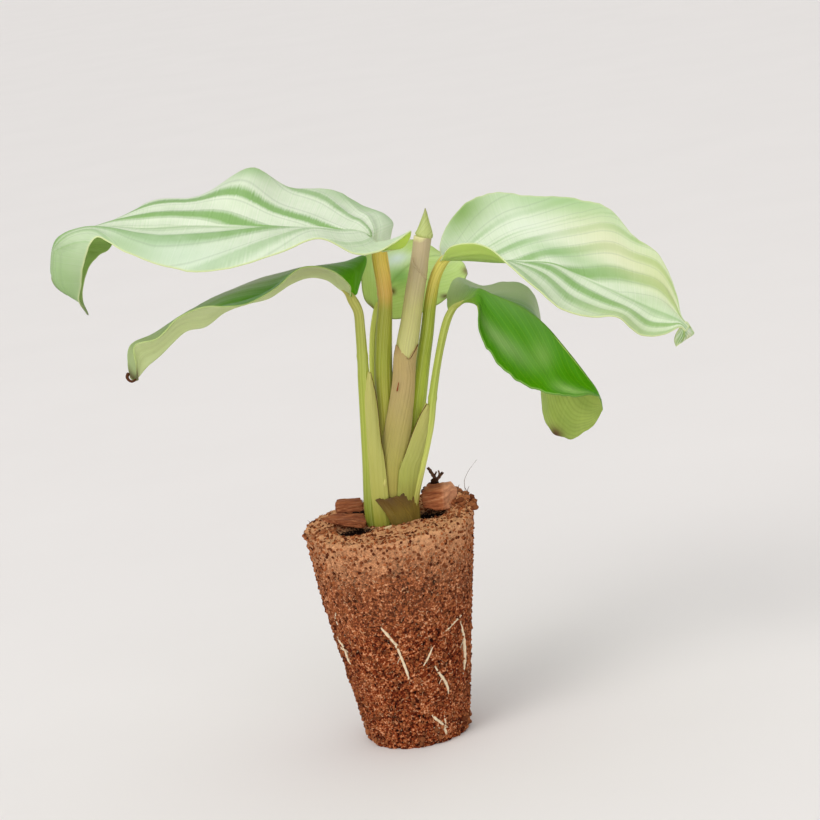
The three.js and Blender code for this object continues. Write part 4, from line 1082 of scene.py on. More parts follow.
def scatter_tree(name, is_fibre):
    """A node tree that strews crumbs or bent fibres over a surface, away from its foot and its pores"""
    tree = bpy.data.node_groups.new(name, "GeometryNodeTree")
    tree.is_modifier = True
    asked = {"Geometry": "Geometry", "Density": "Float", "Smallest": "Float", "Largest": "Float",
             "Lowest": "Float", "Seed": "Int", "Finish": "Material"}
    for title, kind in asked.items():
        tree.interface.new_socket(title, in_out="INPUT", socket_type="NodeSocket" + kind)
    tree.interface.new_socket("Geometry", in_out="OUTPUT", socket_type="NodeSocketGeometry")
    given = add_node(tree, "NodeGroupInput").node.outputs
    # Where the pieces may lie
    place = add_node(tree, "GeometryNodeInputPosition")
    height = add_node(tree, "ShaderNodeSeparateXYZ", (place,), out="Z")
    above = add_node(tree, "FunctionNodeCompare", (height, given["Lowest"]), operation="GREATER_THAN")
    lift = add_node(tree, "GeometryNodeInputNamedAttribute", {"Name": "lift"}, data_type="FLOAT")
    raised = add_node(tree, "FunctionNodeCompare", (lift, 0.25), operation="GREATER_THAN")
    both = add_node(tree, "FunctionNodeBooleanMath", (above, raised), operation="AND")
    inputs = {key: given[key] for key in ("Density", "Seed")}
    inputs.update({"Mesh": given["Geometry"], "Selection": both})
    points = add_node(tree, "GeometryNodeDistributePointsOnFaces", inputs, out="Points")
    # One piece, one millimetre long where its size is 1 mm
    if is_fibre:
        bend = {"Resolution": 5, "Start": (-0.5, 0, 0), "Middle": (0, 0.3, 0.25), "End": (0.5, -0.1, -0.04)}
        line = add_node(tree, "GeometryNodeCurveQuadraticBezier", bend)
        ring = add_node(tree, "GeometryNodeCurvePrimitiveCircle", {"Resolution": 3, "Radius": 0.055})
        inputs = {"Curve": line, "Profile Curve": ring, "Fill Caps": True}
        form = add_node(tree, "GeometryNodeCurveToMesh", inputs)
        turns = {0: (-0.25, -0.25, 0), 1: (0.25, 0.25, 6.28)}
        roughness = 0.15
    else:
        form = add_node(tree, "GeometryNodeMeshIcoSphere", {"Radius": 0.5, "Subdivisions": 1})
        turns = {0: (0, 0, 0), 1: (6.28, 6.28, 6.28)}
        roughness = 0.34
    # Each piece gets its own turn, size and shade
    turns["Seed"] = given["Seed"]
    spin = add_node(tree, "FunctionNodeRandomValue", turns, data_type="FLOAT_VECTOR")
    inputs = {2: given["Smallest"], 3: given["Largest"], "Seed": given["Seed"]}
    size = add_node(tree, "FunctionNodeRandomValue", inputs, out=1, data_type="FLOAT")
    facing = points.node.outputs["Rotation"]
    inputs = {"Points": points, "Instance": form, "Rotation": facing, "Scale": size}
    placed = add_node(tree, "GeometryNodeInstanceOnPoints", inputs)
    turned = add_node(tree, "GeometryNodeRotateInstances", {"Instances": placed, "Rotation": spin})
    shade = add_node(tree, "FunctionNodeRandomValue", {"Seed": 5}, out=1, data_type="FLOAT")
    inputs = {"Geometry": turned, "Name": "shade", "Value": shade}
    shaded = add_node(
        tree, "GeometryNodeStoreNamedAttribute", inputs, data_type="FLOAT", domain="INSTANCE")
    real = add_node(tree, "GeometryNodeRealizeInstances", (shaded,))
    # Every point is pushed about a little, so that no two pieces have the same form
    push = add_node(tree, "ShaderNodeTexNoise", {"Scale": 2200.0, "Detail": 0.0}, out="Color")
    centred = add_node(tree, "ShaderNodeVectorMath", (push, (0.5, 0.5, 0.5)), operation="SUBTRACT")
    inputs = {0: centred, "Scale": roughness * MM}
    shift = add_node(tree, "ShaderNodeVectorMath", inputs, operation="SCALE")
    moved = add_node(tree, "GeometryNodeSetPosition", {"Geometry": real, "Offset": shift})
    inputs = {"Geometry": moved, "Material": given["Finish"]}
    add_node(tree, "NodeGroupOutput", (add_node(tree, "GeometryNodeSetMaterial", inputs),))
    return tree


def strew(name, ground, tree, finish, per_mm2, sizes, lowest, seed):
    """Runs a scatter tree on a copy of the ground and keeps the result as a plain mesh"""
    copy = add_object(name + "_ground", ground.data)
    modifier = copy.modifiers.new("strewn", "NODES")
    modifier.node_group = tree
    values = {"Density": per_mm2 / MM**2, "Smallest": sizes[0] * MM, "Largest": sizes[1] * MM,
              "Lowest": lowest * MM, "Seed": seed, "Finish": finish}
    for item in tree.interface.items_tree:
        if item.in_out == "INPUT" and item.name in values:
            modifier[item.identifier] = values[item.name]
    ready = copy.evaluated_get(bpy.context.evaluated_depsgraph_get())
    mesh = bpy.data.meshes.new_from_object(ready)
    bpy.data.objects.remove(copy)
    mesh.name = name
    if not len(mesh.materials):
        mesh.materials.append(finish)
    belongs(add_object(name, mesh), "peat")


def plug_place(degrees, height, lift):
    """A place on the plug's side, this far out from its smooth face"""
    angle = math.radians(degrees)
    r = plug_radius(height) + lift
    return (r * math.cos(angle), r * math.sin(angle), height)


def root_path(places, thickness):
    """A root half sunk in the peat, thin at both ends, wandering a little"""
    path = []
    last = len(places) - 1
    for k, (degrees, height) in enumerate(places):
        end = k in (0, last)
        x, y, z = plug_place(degrees, height, -0.12 if end else 0.14)
        half = thickness * (0.4 if end else 1.0) * (0.9 + 0.2 * noise.noise(Vector((degrees, height, 1))))
        path.append((x, y, z, half, half))
    return path


def root_swell(run, angle, centre):
    """The slight knots along a root"""
    return 0.05 * np.sin(run * 4.1 + 2 * angle) * centre[:, 3:4] / 0.3


def make_roots(finish):
    """Feeder roots on the plug's side, and the short ones that branch off them"""
    parts = []
    for places, width in ROOTS:
        path = root_path(places, width * 0.72)
        length = sum(math.dist(a[:3], b[:3]) for a, b in zip(path, path[1:]))
        steps = max(6, round(length / ROOT_STEP))
        parts.append(elliptic_tube(path, steps, ROOT_SIDES, root_swell))
    for degrees, height, reach in SIDE_ROOTS:
        path = []
        for share in (0, 0.5, 1):
            low = height - 0.9 * share - 0.5 * share**2
            x, y, z = plug_place(degrees + 3.2 * reach * share, low, 0.2 - 0.15 * share)
            path.append((x, y, z, 0.09 - 0.04 * share, 0.09 - 0.04 * share))
        parts.append(elliptic_tube(path, 8, 6))
    belongs(joined("feeder_roots", parts, [finish]), "peat")


def make_chip(side, corners, finish, grain_axis):
    """A split bark chip: its block, rounded a little, with fibrous layers raised along the grain"""
    shape = bmesh.new()
    for corner in corners:
        shape.verts.new(Vector(corner))
    hull = bmesh.ops.convex_hull(shape, input=shape.verts)
    spare = [g for g in hull["geom_interior"] if isinstance(g, bmesh.types.BMVert)]
    bmesh.ops.delete(shape, geom=spare, context="VERTS")
    bmesh.ops.triangulate(shape, faces=shape.faces)
    bmesh.ops.subdivide_edges(shape, edges=shape.edges, cuts=CHIP_CUTS, use_grid_fill=True)
    bmesh.ops.smooth_vert(
        shape, verts=shape.verts, factor=0.5, use_axis_x=True, use_axis_y=True, use_axis_z=True)
    shape.normal_update()
    axis = Vector(grain_axis).normalized()
    moves = []
    for vert in shape.verts:
        run = vert.co.dot(axis)
        off = vert.co - axis * run
        layer = noise.fractal(off / BARK_LAYER + axis * run / BARK_FIBRE, 0.8, 2.0, 3)
        split = noise.noise(off / 1.1 + axis * run / 6)
        ledge = math.floor(split * 6) / 6
        moves.append(vert.normal * (0.12 * layer + 0.12 * split + 0.3 * ledge))
    for vert, move in zip(shape.verts, moves):
        vert.co += move
        vert.co *= MM
    bmesh.ops.recalc_face_normals(shape, faces=shape.faces)
    mesh = bpy.data.meshes.new("bark_" + side)
    shape.to_mesh(mesh)
    shape.free()
    mesh.materials.append(finish)
    mesh.shade_smooth()
    belongs(add_object("bark_" + side, mesh), "bark", "bark_chip_" + side)


def make_twig(finish):
    """A dry forked twig with two broken side shoots"""
    def knots(run, angle, centre):
        return 0.07 * np.sin(run * 2.3 + 3 * angle) + 0.04 * np.sin(run * 6.1 - 2 * angle)
    parts = [elliptic_tube(path, 30, 14, knots) for path in (TWIG_STEM, TWIG_LEFT_ARM, TWIG_RIGHT_ARM)]
    stub = [(11.6, 5.95, 50.6, 0.22, 0.22), (11.7, 5.8, 51.3, 0.18, 0.18), (11.65, 5.7, 52, 0.12, 0.12)]
    spur = [(10.5, 5.9, 50.9, 0.2, 0.2), (11.0, 5.7, 51.5, 0.16, 0.16), (11.2, 5.6, 51.9, 0.1, 0.1)]
    parts += [elliptic_tube(branch, 10, 10, knots) for branch in (stub, spur)]
    piece = joined("forked_twig", parts, [finish])
    belongs(piece, "twig", "twig")
    return piece


def make_old_sheath(finish):
    """The dead leaf base: a ribbed papery collar with a ragged top edge"""
    rows, columns = 34, 90
    low, high = OLD_SHEATH_HEIGHTS
    surface = np.zeros((rows, columns, 3))
    for i in range(rows):
        up = i / (rows - 1)
        start = OLD_SHEATH_BOTTOM_ARC[0] + (OLD_SHEATH_TOP_ARC[0] - OLD_SHEATH_BOTTOM_ARC[0]) * up**1.8
        end = OLD_SHEATH_BOTTOM_ARC[1] + (OLD_SHEATH_TOP_ARC[1] - OLD_SHEATH_BOTTOM_ARC[1]) * up
        for j in range(columns):
            angle = math.radians(start + (end - start) * j / (columns - 1))
            ragged = 0.4 * noise.noise(Vector((j * 0.09, 3.3, 0)))
            ragged += 0.24 * noise.noise(Vector((j * 0.3, 8, 0)))
            crease = 0.02 * math.cos(j * 0.9) + 0.2 * noise.noise(Vector((j * 0.08, up * 2, 4)))
            surface[i, j] = (
                OLD_SHEATH_CENTRE[0] + (OLD_SHEATH_RADII[0] + crease) * math.cos(angle),
                OLD_SHEATH_CENTRE[1] + (OLD_SHEATH_RADII[1] + crease) * math.sin(angle),
                low + (high - low) * up + up**2 * (ragged + 3.2 * max(0, j / (columns - 1) - 0.5)),
            )
    width = distances(surface)
    points, faces, _, spread = sheet_skins(surface, OLD_SHEATH_THICKNESS, 1)
    numbers = on_skins({"around": width, "run": width * 0}, spread)
    piece = make_piece("old_dry_sheath", points, faces, [finish], numbers=numbers)
    belongs(piece, "dry_sheath", "old_sheath")


def strand(points, half):
    """A thin round fibre through the points, tapering to its end"""
    last = len(points) - 1
    path = [(*p, half * (1 - 0.6 * k / last), half * (1 - 0.6 * k / last)) for k, p in enumerate(points)]
    return elliptic_tube(path, 8 * last, 6)


def heap_top(x, y):
    """Top of the loose heap of peat at the right of the rim; it slopes down past the rim"""
    return HEAP_TOP - 0.7 * abs(x - HEAP_CENTRE[0]) - 0.25 * abs(y - HEAP_CENTRE[1])


def clod(place, size, shade, squash):
    """One lump of peat: a small ball pushed out of shape"""
    shape = bmesh.new()
    bmesh.ops.create_icosphere(shape, subdivisions=2, radius=size / 2)
    start = Vector(place)
    points = []
    for vert in shape.verts:
        push = 1 + 0.55 * noise.noise(start + vert.co / size * 2.2)
        x, y, z = (value * push for value in vert.co)
        points.append((start.x + x, start.y + y, start.z + z * squash))
    faces = [tuple(v.index for v in face.verts) for face in shape.faces]
    shape.free()
    return points, faces, {"shade": [shade] * len(points)}


def make_clods(finish):
    """Loose lumps of peat: a heap on the right of the rim, some on the left and by the foot"""
    chance = random.Random(11)
    parts = []
    for _ in range(150):
        x, y = chance.uniform(12.8, 18.2), chance.uniform(0.5, 8.5)
        z = heap_top(x, y) - 2.2 * chance.random() ** 2
        past = math.hypot(x, y) - PLUG_TOP_RADIUS
        if past < 1.3 and z > 44.2 + 0.6 * max(0.0, past):
            parts.append(clod((x, y, z - 0.4), chance.uniform(0.5, 1.6), chance.random(), 0.8))
    for _ in range(26):
        x, y = -12.4 + 2.2 * chance.uniform(-1, 1), -5.8 + 2.2 * chance.uniform(-1, 1)
        size = chance.uniform(0.4, 1.1)
        parts.append(clod((x, y, PLUG_HEIGHT + top_lump(x, y) + size * 0.2), size, chance.random(), 0.8))
    for _ in range(60):
        height = chance.uniform(0.5, 3.6)
        angle = math.radians(chance.choice((-20, -20, -20, 40, 120, 200, 285)) + chance.uniform(-14, 14))
        r = plug_radius(height) + 0.15
        size = min(chance.uniform(0.5, 1.3), height * 1.2)
        parts.append(clod((r * math.cos(angle), r * math.sin(angle), height), size, chance.random(), 1))
    piece = joined("peat_clods", parts, [finish])
    belongs(piece, "peat")


def make_shadow_crumbs(finish):
    """Dark crumbs as painted shadow: in the gap between the two left chips and piled behind the right one"""
    chance = random.Random(5)
    parts = []
    for _ in range(34):
        x = chance.uniform(-9.6, -4.4)
        place = (x, 2.4, 46.5 - 0.12 * x / 3 + chance.uniform(-0.5, 0))
        parts.append(clod(place, chance.uniform(0.5, 0.9), 0, 0.8))
    for _ in range(64):
        x, y = chance.uniform(8, 11.4), chance.uniform(5.4, 7.2)
        top = min(50.7, 49.7 + 0.5 * (x - 8.4)) - 0.7 * (y - 5.4)
        z = top - (top - PLUG_HEIGHT) * chance.random() ** 2
        parts.append(clod((x, y, z - 0.4), chance.uniform(0.6, 1.3), chance.random(), 0.8))
    piece = joined("dark_crumbs_painted_shadow", parts, [finish])
    belongs(piece, "peat")


def make_rim_litter(finish):
    """Dry moss strands and root hairs standing up from the back of the rim"""
    chance = random.Random(4)
    parts = [strand(RIM_HAIR, 0.05)]
    for _ in range(13):
        x, y = chance.uniform(12.6, 17.2), chance.uniform(3.5, 7.5)
        base = heap_top(x, y) - 0.6
        tall = chance.uniform(0.6, 2.0)
        lean = [chance.uniform(-0.8, 0.8) for _ in range(2)]
        middle = (x + lean[0] * 0.3, y + lean[1] * 0.3, base + tall * 0.6)
        path = [(x, y, base), middle, (x + lean[0], y + lean[1], base + tall)]
        parts.append(strand(path, chance.uniform(0.06, 0.13)))
    for _ in range(40):
        angle = math.radians(chance.uniform(0, 360))
        x, y = 16.2 * math.cos(angle), 16.2 * math.sin(angle)
        base = PLUG_HEIGHT + top_lump(x, y)
        lean = chance.uniform(-0.6, 0.6)
        path = [(x, y, base), (x + lean, y, base + 0.5), (x + lean * 1.7, y + 0.2, base + 0.7)]
        parts.append(strand(path, 0.06))
    piece = joined("rim_moss_and_hairs", parts, [finish])
    belongs(piece, "peat")


# Marks on each blade: share of its length, side from -1 at the far margin to 1 at the near one,
# how far the mark reaches in both, its colour and its strength
UPPER_LEFT_MARKS = {
    "foot_green": (0.13, -1.0, 0.09, 0.25, "9fc584", 0.8),
    "top_green": (0.364, -1.0, 0.05, 0.2, "93bd74", 0.8),
    "cool_sheen": (0.5, 0.8, 0.18, 0.4, "d6ead8", 0.5),
    "near_green": (0.6, 0.9, 0.1, 0.35, "a9cb8a", 0.6),
    "tip_green": (0.95, 0.0, 0.2, 2.0, "8fb36c", 0.9),
    "hair_grey": (1.0, 0.0, 0.03, 3.0, "868d74", 1.0),
    # The two underside marks are painted glow: light that passes through the thin leaf
    "under_lobe_painted_glow": (0.07, 0.95, 0.14, 0.75, "ecff74", 1.0),
    "under_bend_painted_glow": (0.84, 0.9, 0.16, 0.9, "e6f2a0", 1.0),
}
UPPER_RIGHT_MARKS = {
    "foot_green": (0.2, -0.97, 0.1, 0.3, "7ba244", 0.9),
    "far_green": (0.56, -0.97, 0.2, 0.22, "9fc886", 0.85),
    "far_sheen": (0.42, -0.6, 0.15, 0.22, "f4fbee", 0.6),
    "mid_green": (0.52, -0.26, 0.2, 0.13, "9bc684", 0.6),
    "cream_glow": (0.7, -0.6, 0.2, 0.32, "efeac0", 0.6),
    "near_glow": (0.78, 0.85, 0.18, 0.4, "d3e3a8", 0.6),
    "right_glow": (0.88, -0.7, 0.1, 0.4, "cfd592", 0.6),
    # The underside mark on the curled margin is painted glow, light that passes through the leaf
    "under_curl_painted_glow": (0.14, 0.9, 0.26, 0.8, "eeff96", 1.0),
}
LOWER_LEFT_MARKS = {
    "brown_tip": (1.0, 0.0, 0.022, 3.0, "4d2f1c", 1.0),
    "grey_rim": (0.45, -1.0, 0.25, 0.6, "b4b69c", 1.0),
    "grey_bend": (0.22, -0.7, 0.08, 1.2, "98a368", 0.8),
    "pale_end": (0.92, -0.6, 0.28, 2.0, "a9b883", 1.0),
    "under_grey": (0.2, 0.6, 0.16, 0.9, "c8d294", 1.0),
}
LOWER_RIGHT_MARKS = {
    "brown_notch": (0.8, -0.98, 0.035, 0.12, "6b3c22", 1.0),
    "soft_shine": (0.34, 0.62, 0.18, 0.16, "9bb578", 0.6),
    "low_shine": (0.58, 0.4, 0.08, 0.2, "8fb060", 0.5),
    "fold_light": (0.84, 0.75, 0.12, 0.16, "a4cc70", 0.8),
    # The pale grey-green over the far half is a painted sheen, where its top is seen at a grazing angle
    "far_dull": (0.3, -0.85, 0.3, 0.65, "d0dab6", 1.0),
    "hood_dull": (0.0, 0.0, 0.1, 3.0, "a3b554", 0.9),
}
BACK_MARKS = {
    "dark_heart": (0.27, 0.02, 0.09, 0.26, "8cc25a", 0.9),
    "blue_sheen": (0.41, -0.42, 0.13, 0.28, "f0fff4", 0.95),
    "brown_edge": (0.65, 1.02, 0.05, 0.12, "6f4a2a", 1.0),
    "brown_spot": (0.32, 0.99, 0.03, 0.1, "5f3c20", 1.0),
    "brown_fleck": (0.155, 0.14, 0.022, 0.08, "6b4a28", 1.0),
    "brown_foot": (0.0, -1.0, 0.04, 0.5, "6a4628", 0.9),
}


def places(marks):
    """Where a blade's marks lie and how far they reach"""
    return {key: values[:4] for key, values in marks.items()}


def colours(marks):
    """The marks of a blade's upper side; the others are named after the underside"""
    return {key: values[4:] for key, values in marks.items() if not key.startswith("under_")}


def picked(marks, *keys):
    """The colour and strength of some of a blade's marks"""
    return {key: marks[key][4:] for key in keys}


def make_striped_leaves():
    """The two upper leaves, and the curled tip of the right one"""
    green = ("98c17a", "86b064")
    soft = ("b2ca7e", "c6da98")
    margin = leaf_margin("Leaf_edge_pale", ("d6e2a8", "c9d894"), picked(UPPER_LEFT_MARKS, "hair_grey"))
    veins = (UPPER_LEFT_FAR_VEINS, UPPER_LEFT_NEAR_VEINS)
    silver = ("f6fae8", "e4f2d4")
    upper = striped_leaf_skin("Striped_leaf_skin_left", veins, silver, green, colours(UPPER_LEFT_MARKS))
    marks = picked(UPPER_LEFT_MARKS, "under_lobe_painted_glow", "under_bend_painted_glow", "hair_grey")
    finishes = (upper, leaf_underside("Leaf_underside_soft_left", soft, marks, 0.5), margin)
    make_blade(
        "leaf_upper_left", "striped_leaf", UPPER_LEFT, 1, finishes, veins, places(UPPER_LEFT_MARKS), 0.16,
        ["blade_upper_left"], turn=0.52)
    veins = (UPPER_RIGHT_FAR_VEINS, UPPER_RIGHT_NEAR_VEINS)
    silver = ("f2f8e4", "e0efce")
    upper = striped_leaf_skin("Striped_leaf_skin_right", veins, silver, green, colours(UPPER_RIGHT_MARKS))
    marks = picked(UPPER_RIGHT_MARKS, "under_curl_painted_glow")
    finishes = (upper, leaf_underside("Leaf_underside_soft_right", soft, marks, 0.5), margin)
    marks = places(UPPER_RIGHT_MARKS)
    make_blade(
        "leaf_upper_right", "striped_leaf", UPPER_RIGHT, -1, finishes, veins, marks, 0.14,
        ["blade_upper_right"])
    make_blade("leaf_upper_right_tip", "striped_leaf", CURLED_TIP, -1, finishes, veins, marks, 0.03, rows=36)


def make_green_leaf(side, stations, top, marks, upper, under, edge, rough=0.03):
    """One of the plainer leaves; the last three are its finishes, each with its name, two hex colours
    and the marks that show on it"""
    finishes = [
        green_leaf_skin("Green_leaf_skin_" + upper[0], upper[1:3], picked(marks, *upper[3:])),
        leaf_underside("Leaf_underside_" + under[0], under[1:3], picked(marks, *under[3:])),
        leaf_margin("Leaf_edge_" + edge[0], edge[1:3], picked(marks, *edge[3:])),
    ]
    veins = (GREEN_VEINS, GREEN_VEINS)
    make_blade(
        "leaf_" + side, "green_leaf", stations, top, finishes, veins, places(marks), 0.06, ["blade_" + side],
        rough=rough)


def make_green_leaves():
    """The two lower leaves and the one at the back"""
    make_green_leaf(
        "lower_left", LOWER_LEFT, 1, LOWER_LEFT_MARKS,
        ("left", "57a008", "69b20c", "grey_rim", "grey_bend", "pale_end", "brown_tip"),
        ("pale", "d8e69c", "e8f4b8", "under_grey", "brown_tip"),
        ("browned", "b9cb84", "a3b868", "brown_tip"))
    make_green_leaf(
        "lower_right", LOWER_RIGHT, -1, LOWER_RIGHT_MARKS,
        ("right", "428a02", "509604", *LOWER_RIGHT_MARKS),
        ("dull", "8dac40", "d6ec76", "brown_notch"),
        ("notched", "6c9a30", "568420", "brown_notch"), 0.07)
    make_green_leaf(
        "back", BACK, -1, BACK_MARKS,
        ("back", "cde880", "daf298", *BACK_MARKS),
        ("light", "93b850", "aecb68", "brown_edge", "brown_foot"),
        ("aged", "b4c766", "96ac52", "brown_edge", "brown_foot"))


def make_stalks():
    """Each stalk: its path, how many ribs it has and how deep they are, how far down its sheath opens
    with a ring, and its colours by height"""
    stalks = [
        ("upper_left", STALK_UPPER_LEFT, 19, 0.04, 9.6, [
            (100, "e2c850"), (96, "dfc056"), (91, "d0a850"), (89.8, "c6a448"), (87.2, "9c9c32"),
            (78, "9aa02e"), (66, "aca83c"), (60, "bab04c"), (50, "a0a23c"), (44, "6c7020")]),
        ("lower_left", STALK_LOWER_LEFT, 13, 0.03, 15.6, [
            (90, "b9b458"), (85, "b0b250"), (79, "acb44c"), (70, "a8b242"), (62, "a4ae40"), (57, "a2ac3e"),
            (51, "94a034"), (47, "808a22"), (44, "626814")]),
        # The upper right stalk is brighter from about 70 mm down: painted light where the sheath wrap and
        # the lower right leaf shade it
        ("upper_right", STALK_UPPER_RIGHT, 15, 0.035, None, [
            (96, "dcd266"), (91.5, "d8c85e"), (88.5, "c2b84c"), (85.6, "a2ae38"), (78, "a4b23a"),
            (70, "bccc44"), (58, "c8d254"), (46, "a0a048")]),
        ("lower_right", STALK_LOWER_RIGHT, 11, 0.025, 21.5, [
            (87, "b8ba66"), (84, "b4bc58"), (70, "aab84c"), (62, "c2ca62"), (56, "ced46a"), (50, "b8b858"),
            (46, "968a38")]),
        ("back", STALK_BACK, 11, 0.025, None, [(87, "dae070"), (70, "dce468"), (46, "b0b04a")]),
    ]
    for side, path, ribs, depth, ring, stops in stalks:
        tube = elliptic_tube(path, 150, 60, stalk_ribs(ribs, depth, ring))
        piece = joined("stalk_" + side, [tube], [petiole_skin("Petiole_skin_" + side, stops)])
        belongs(piece, "stalk", "stem_" + side)
    wings = [
        ("left", WING_LOWER_LEFT, [
            (76, "beb86a"), (66, "b6b464"), (57, "b4b25c"), (50, "b2b054"), (46, "9c9c3c"), (43, "84862c")]),
        ("right", WING_LOWER_RIGHT, [
            (68, "b0aa5c"), (60, "aaaa58"), (54, "a2a64a"), (49, "94923c"), (43, "6e6426")]),
    ]
    for side, stations, stops in wings:
        skin = petiole_skin("Sheath_wing_skin_" + side, stops, 0.02, 0.3)
        belongs(joined("sheath_wing_" + side, [thin_sheath(stations)], [skin]), "stalk")


def make_spear():
    """The new leaf, rolled up in its sheath, and the older sheath round that"""
    sheath = papery_sheath("Young_sheath_membrane", [
        (101.2, "eae6ae"), (100.5, "dedb9c"), (99.9, "b7a888"), (94, "bdad8b"), (89.5, "bfb684"),
        (87, "c1bf7c"), (79, "c6c880"), (72, "b9b86c"), (58, "adb065"), (46, "9fb455")], "9b8a66")
    wrap = papery_sheath("Older_sheath_membrane", [
        (80, "9a7a52"), (78, "b29a68"), (72, "b39c6c"), (67, "ac9c62"), (62, "a69c56"), (57, "a09c4a"),
        (51, "a29a44"), (44, "84782c")], "8f8048")
    tip = petiole_skin("Rolled_leaf_skin", [
        (106, "8b8455"), (104.6, "a9b468"), (102, "b6c076"), (100, "bcc47c"), (98, "a9bf5c")], 0.03)
    tube = elliptic_tube(SPEAR_SHEATH, 190, 64, stalk_ribs(17, 0.02))
    seam_path = [(*place, 0.13, 0.13) for place in SPEAR_SEAM]
    piece = joined("spear_sheath_tube", [tube, elliptic_tube(seam_path, 40, 8)], [sheath])
    belongs(piece, "spear_sheath", "spear_sheath")
    older = joined("spear_sheath_wrap", [thin_sheath(SPEAR_WRAP, 120, 20, 0.34)], [wrap])
    belongs(older, "spear_sheath")
    def furled(run, angle, centre):
        edge = (angle + 1.9 - run * 0.16) % (2 * math.pi)
        return 0.12 * centre[:, 3:4] * (edge / (2 * math.pi) - 0.5) * 0.6
    leaf = joined("rolled_leaf_tip", [elliptic_tube(ROLLED_LEAF, 80, 48, furled)], [tip])
    belongs(leaf, "rolled_leaf", "rolled_leaf")


def make_litter():
    """Bark chips, the twig, the old sheath, small dry parts of the plant, loose peat and dark crumbs as
    painted shadow
    """
    reds = [(0.25, "3e1a0c"), (0.42, "7a4024"), (0.55, "995a36"), (0.72, "c98c62")]
    browns = [(0.25, "4e2413"), (0.42, "8c4c2b"), (0.55, "ad6b43"), (0.72, "d89d72")]
    greys = [(0.25, "2c1a12"), (0.42, "4a3024"), (0.55, "6b4a38"), (0.72, "a08468")]
    bark = bark_finish("Pine_bark_grain_across", (9, 1, 1), reds)
    make_chip("left_back", LEFT_BACK_CHIP, bark, (1, 0.05, -0.08))
    make_chip("left_front", LEFT_FRONT_CHIP, bark, (1, -0.25, -0.12))
    turned_bark = bark_finish("Pine_bark_grain_back", (7, 3, 1), browns, 11.4)
    make_chip("right", RIGHT_CHIP, turned_bark, (1, 0.3, 0.12))
    make_twig(bark_finish("Dry_twig_skin", (1, 1, 4), greys))
    paper = papery_sheath("Dry_sheath_paper", [
        (52.2, "362404"), (51, "463006"), (50.2, "5c420a"), (48.6, "6c540e"), (47, "7a6618"), (45, "6e5c12"),
        (43.5, "564206")], "3e2a04")
    make_old_sheath(paper)
    margins = [strand(points, 0.09) for points in DRY_MARGINS]
    scale = elliptic_tube(PALE_SCALE, 24, 12)
    bud = elliptic_tube(FOOT_BUD, 24, 12)
    dry_parts = [
        ("dry_sheath_margins", "dry_sheath", margins, "Dry_sheath_margin", "5c3c1e", "8a5a34"),
        ("sheath_tear", "dry_sheath", [strand(SHEATH_TEAR, 0.14)], "Red_brown_tear", "8c3a20", "b46444"),
        ("pale_scale", "dry_sheath", [scale], "Pale_dry_scale", "cdb488", "ecd9b0"),
        ("foot_bud", "stalk", [bud], "Pale_green_bud", "c4c070", "d8d894"),
        ("dry_leaf_curl", "green_leaf", [strand(DRY_CURL, 0.36)], "Scorched_leaf_end", "54301c", "9a6844"),
    ]
    for name, slot, parts, finish, dark, light in dry_parts:
        belongs(joined(name, parts, [crumb_finish(finish, dark, light)]), slot)
    make_clods(crumb_finish("Peat_clods", "532410", "b87448"))
    # Dark crumbs stand in for the shadow in the crevices by the chips
    make_shadow_crumbs(crumb_finish("Dark_crumbs_painted_shadow", "1c0c06", "482816"))
    make_rim_litter(crumb_finish("Dry_moss_and_hairs", "6a4c36", "94765a"))


def make_stage():
    """A plain pale floor, wide enough for every side view"""
    material, tree, shader = new_finish("Matt_pale_board", 0.9, Specular_IOR_Level=0.2)
    lay_skin(tree, shader, coated(tree, "e6e2df", "eae6e3", grains(tree, 60, 3)))
    corners = [(x * FLOOR_REACH, y * FLOOR_REACH, 0) for x, y in ((-1, -1), (1, -1), (1, 1), (-1, 1))]
    make_piece("floor", corners, [(0, 1, 2, 3)], [material])


def add_light(name, place, target, size, watts, tint):
    """A round soft light, with its size in mm"""
    lamp = bpy.data.lights.new(name, "AREA")
    lamp.shape = "DISK"
    lamp.size = size * MM
    lamp.energy = watts
    lamp.color = tint
    light = add_object(name, lamp)
    light.location = Vector(place) * MM
    aim = Vector(target) * MM - light.location
    light.rotation_euler = aim.to_track_quat("-Z", "Y").to_euler()


def add_sun(name, source, strength, spread, tint):
    """Even light from one side of the sky; a wide spread in degrees keeps its shadows soft"""
    lamp = bpy.data.lights.new(name, "SUN")
    lamp.energy = strength
    lamp.angle = math.radians(spread)
    lamp.color = tint
    add_object(name, lamp).rotation_euler = (-Vector(source)).to_track_quat("-Z", "Y").to_euler()


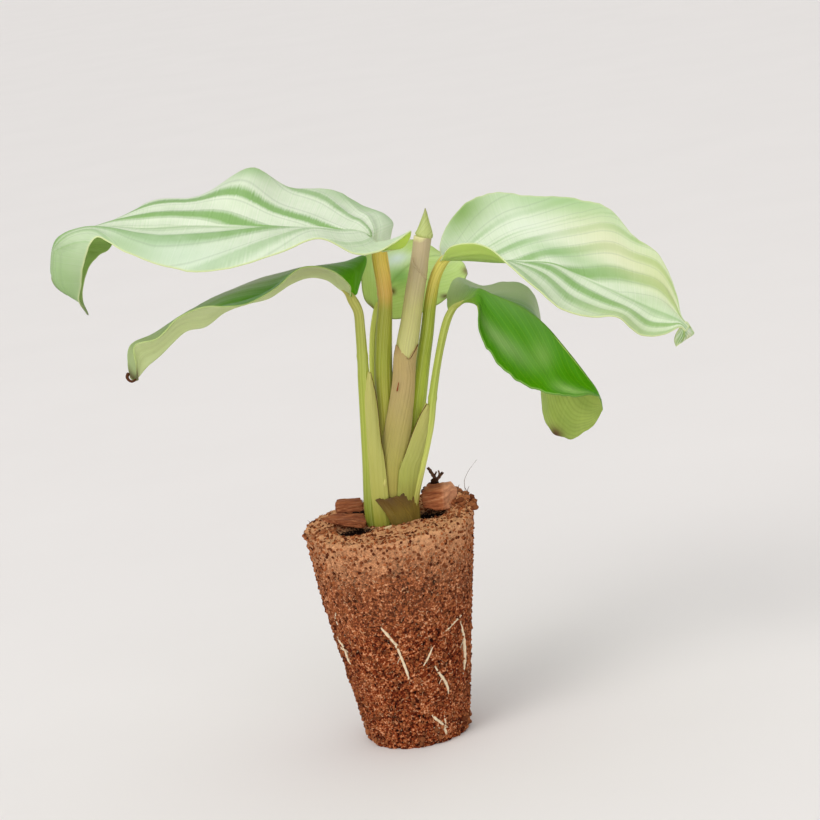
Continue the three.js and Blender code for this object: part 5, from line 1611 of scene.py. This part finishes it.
def make_lighting():
    """Soft daylight from the upper left, with a broad pale sky all round"""
    world = bpy.data.worlds.new("pale_studio")
    world.use_nodes = True
    world.node_tree.nodes["Background"].inputs["Color"].default_value = (0.98, 0.985, 1.0, 1)
    world.node_tree.nodes["Background"].inputs["Strength"].default_value = 0.62
    bpy.context.scene.world = world
    add_sun("daylight_left", (-0.62, -0.66, 0.9), 0.8, 40, (1.0, 0.98, 0.95))
    add_sun("daylight_above", (0.3, 0.25, 1.0), 0.4, 70, (0.98, 0.99, 1.0))
    add_sun("daylight_front", (0.25, -1.0, 0.12), 1.0, 60, (1.0, 0.985, 0.96))
    add_light("window_left", (-480, -520, 700), (0, 0, 70), 420, 1.2, (1.0, 0.99, 0.97))


def make_camera():
    """The camera looks along the plug's front, tipped down and rolled"""
    down = math.radians(CAMERA_DOWN)
    roll = math.radians(CAMERA_ROLL)
    ahead = Vector((0, math.cos(down), -math.sin(down)))
    upright = Vector((0, math.sin(down), math.cos(down)))
    right = Vector((1, 0, 0)) * math.cos(roll) - upright * math.sin(roll)
    up = Vector((1, 0, 0)) * math.sin(roll) + upright * math.cos(roll)
    lens = bpy.data.cameras.new("camera")
    lens.lens = CAMERA_LENS
    lens.sensor_width = CAMERA_SENSOR
    camera = add_object("camera", lens)
    turn = Matrix((right, up, -ahead)).transposed().to_4x4()
    camera.matrix_world = Matrix.Translation(Vector(CAMERA_PLACE) * MM) @ turn
    bpy.context.scene.camera = camera


# The plant and its plug
make_striped_leaves()
make_green_leaves()
make_stalks()
make_spear()
plug = make_plug()
crumb_skin = crumb_finish("Loose_peat_crumbs", "431808", "bc7042")
fibre_skin = crumb_finish("Coir_fibres", "9a6038", "e8bc90")
strew("peat_crumbs", plug, scatter_tree("Strewn_crumbs", False), crumb_skin, 1.2, (0.3, 0.75), 0.4, 3)
strew("coir_fibres", plug, scatter_tree("Strewn_fibres", True), fibre_skin, 0.22, (0.5, 1.3), 1.2, 8)
make_roots(root_finish("Feeder_root_skin"))
make_litter()

# Stage, light and camera
make_stage()
make_lighting()
make_camera()
bpy.context.scene.view_settings.view_transform = "Standard"
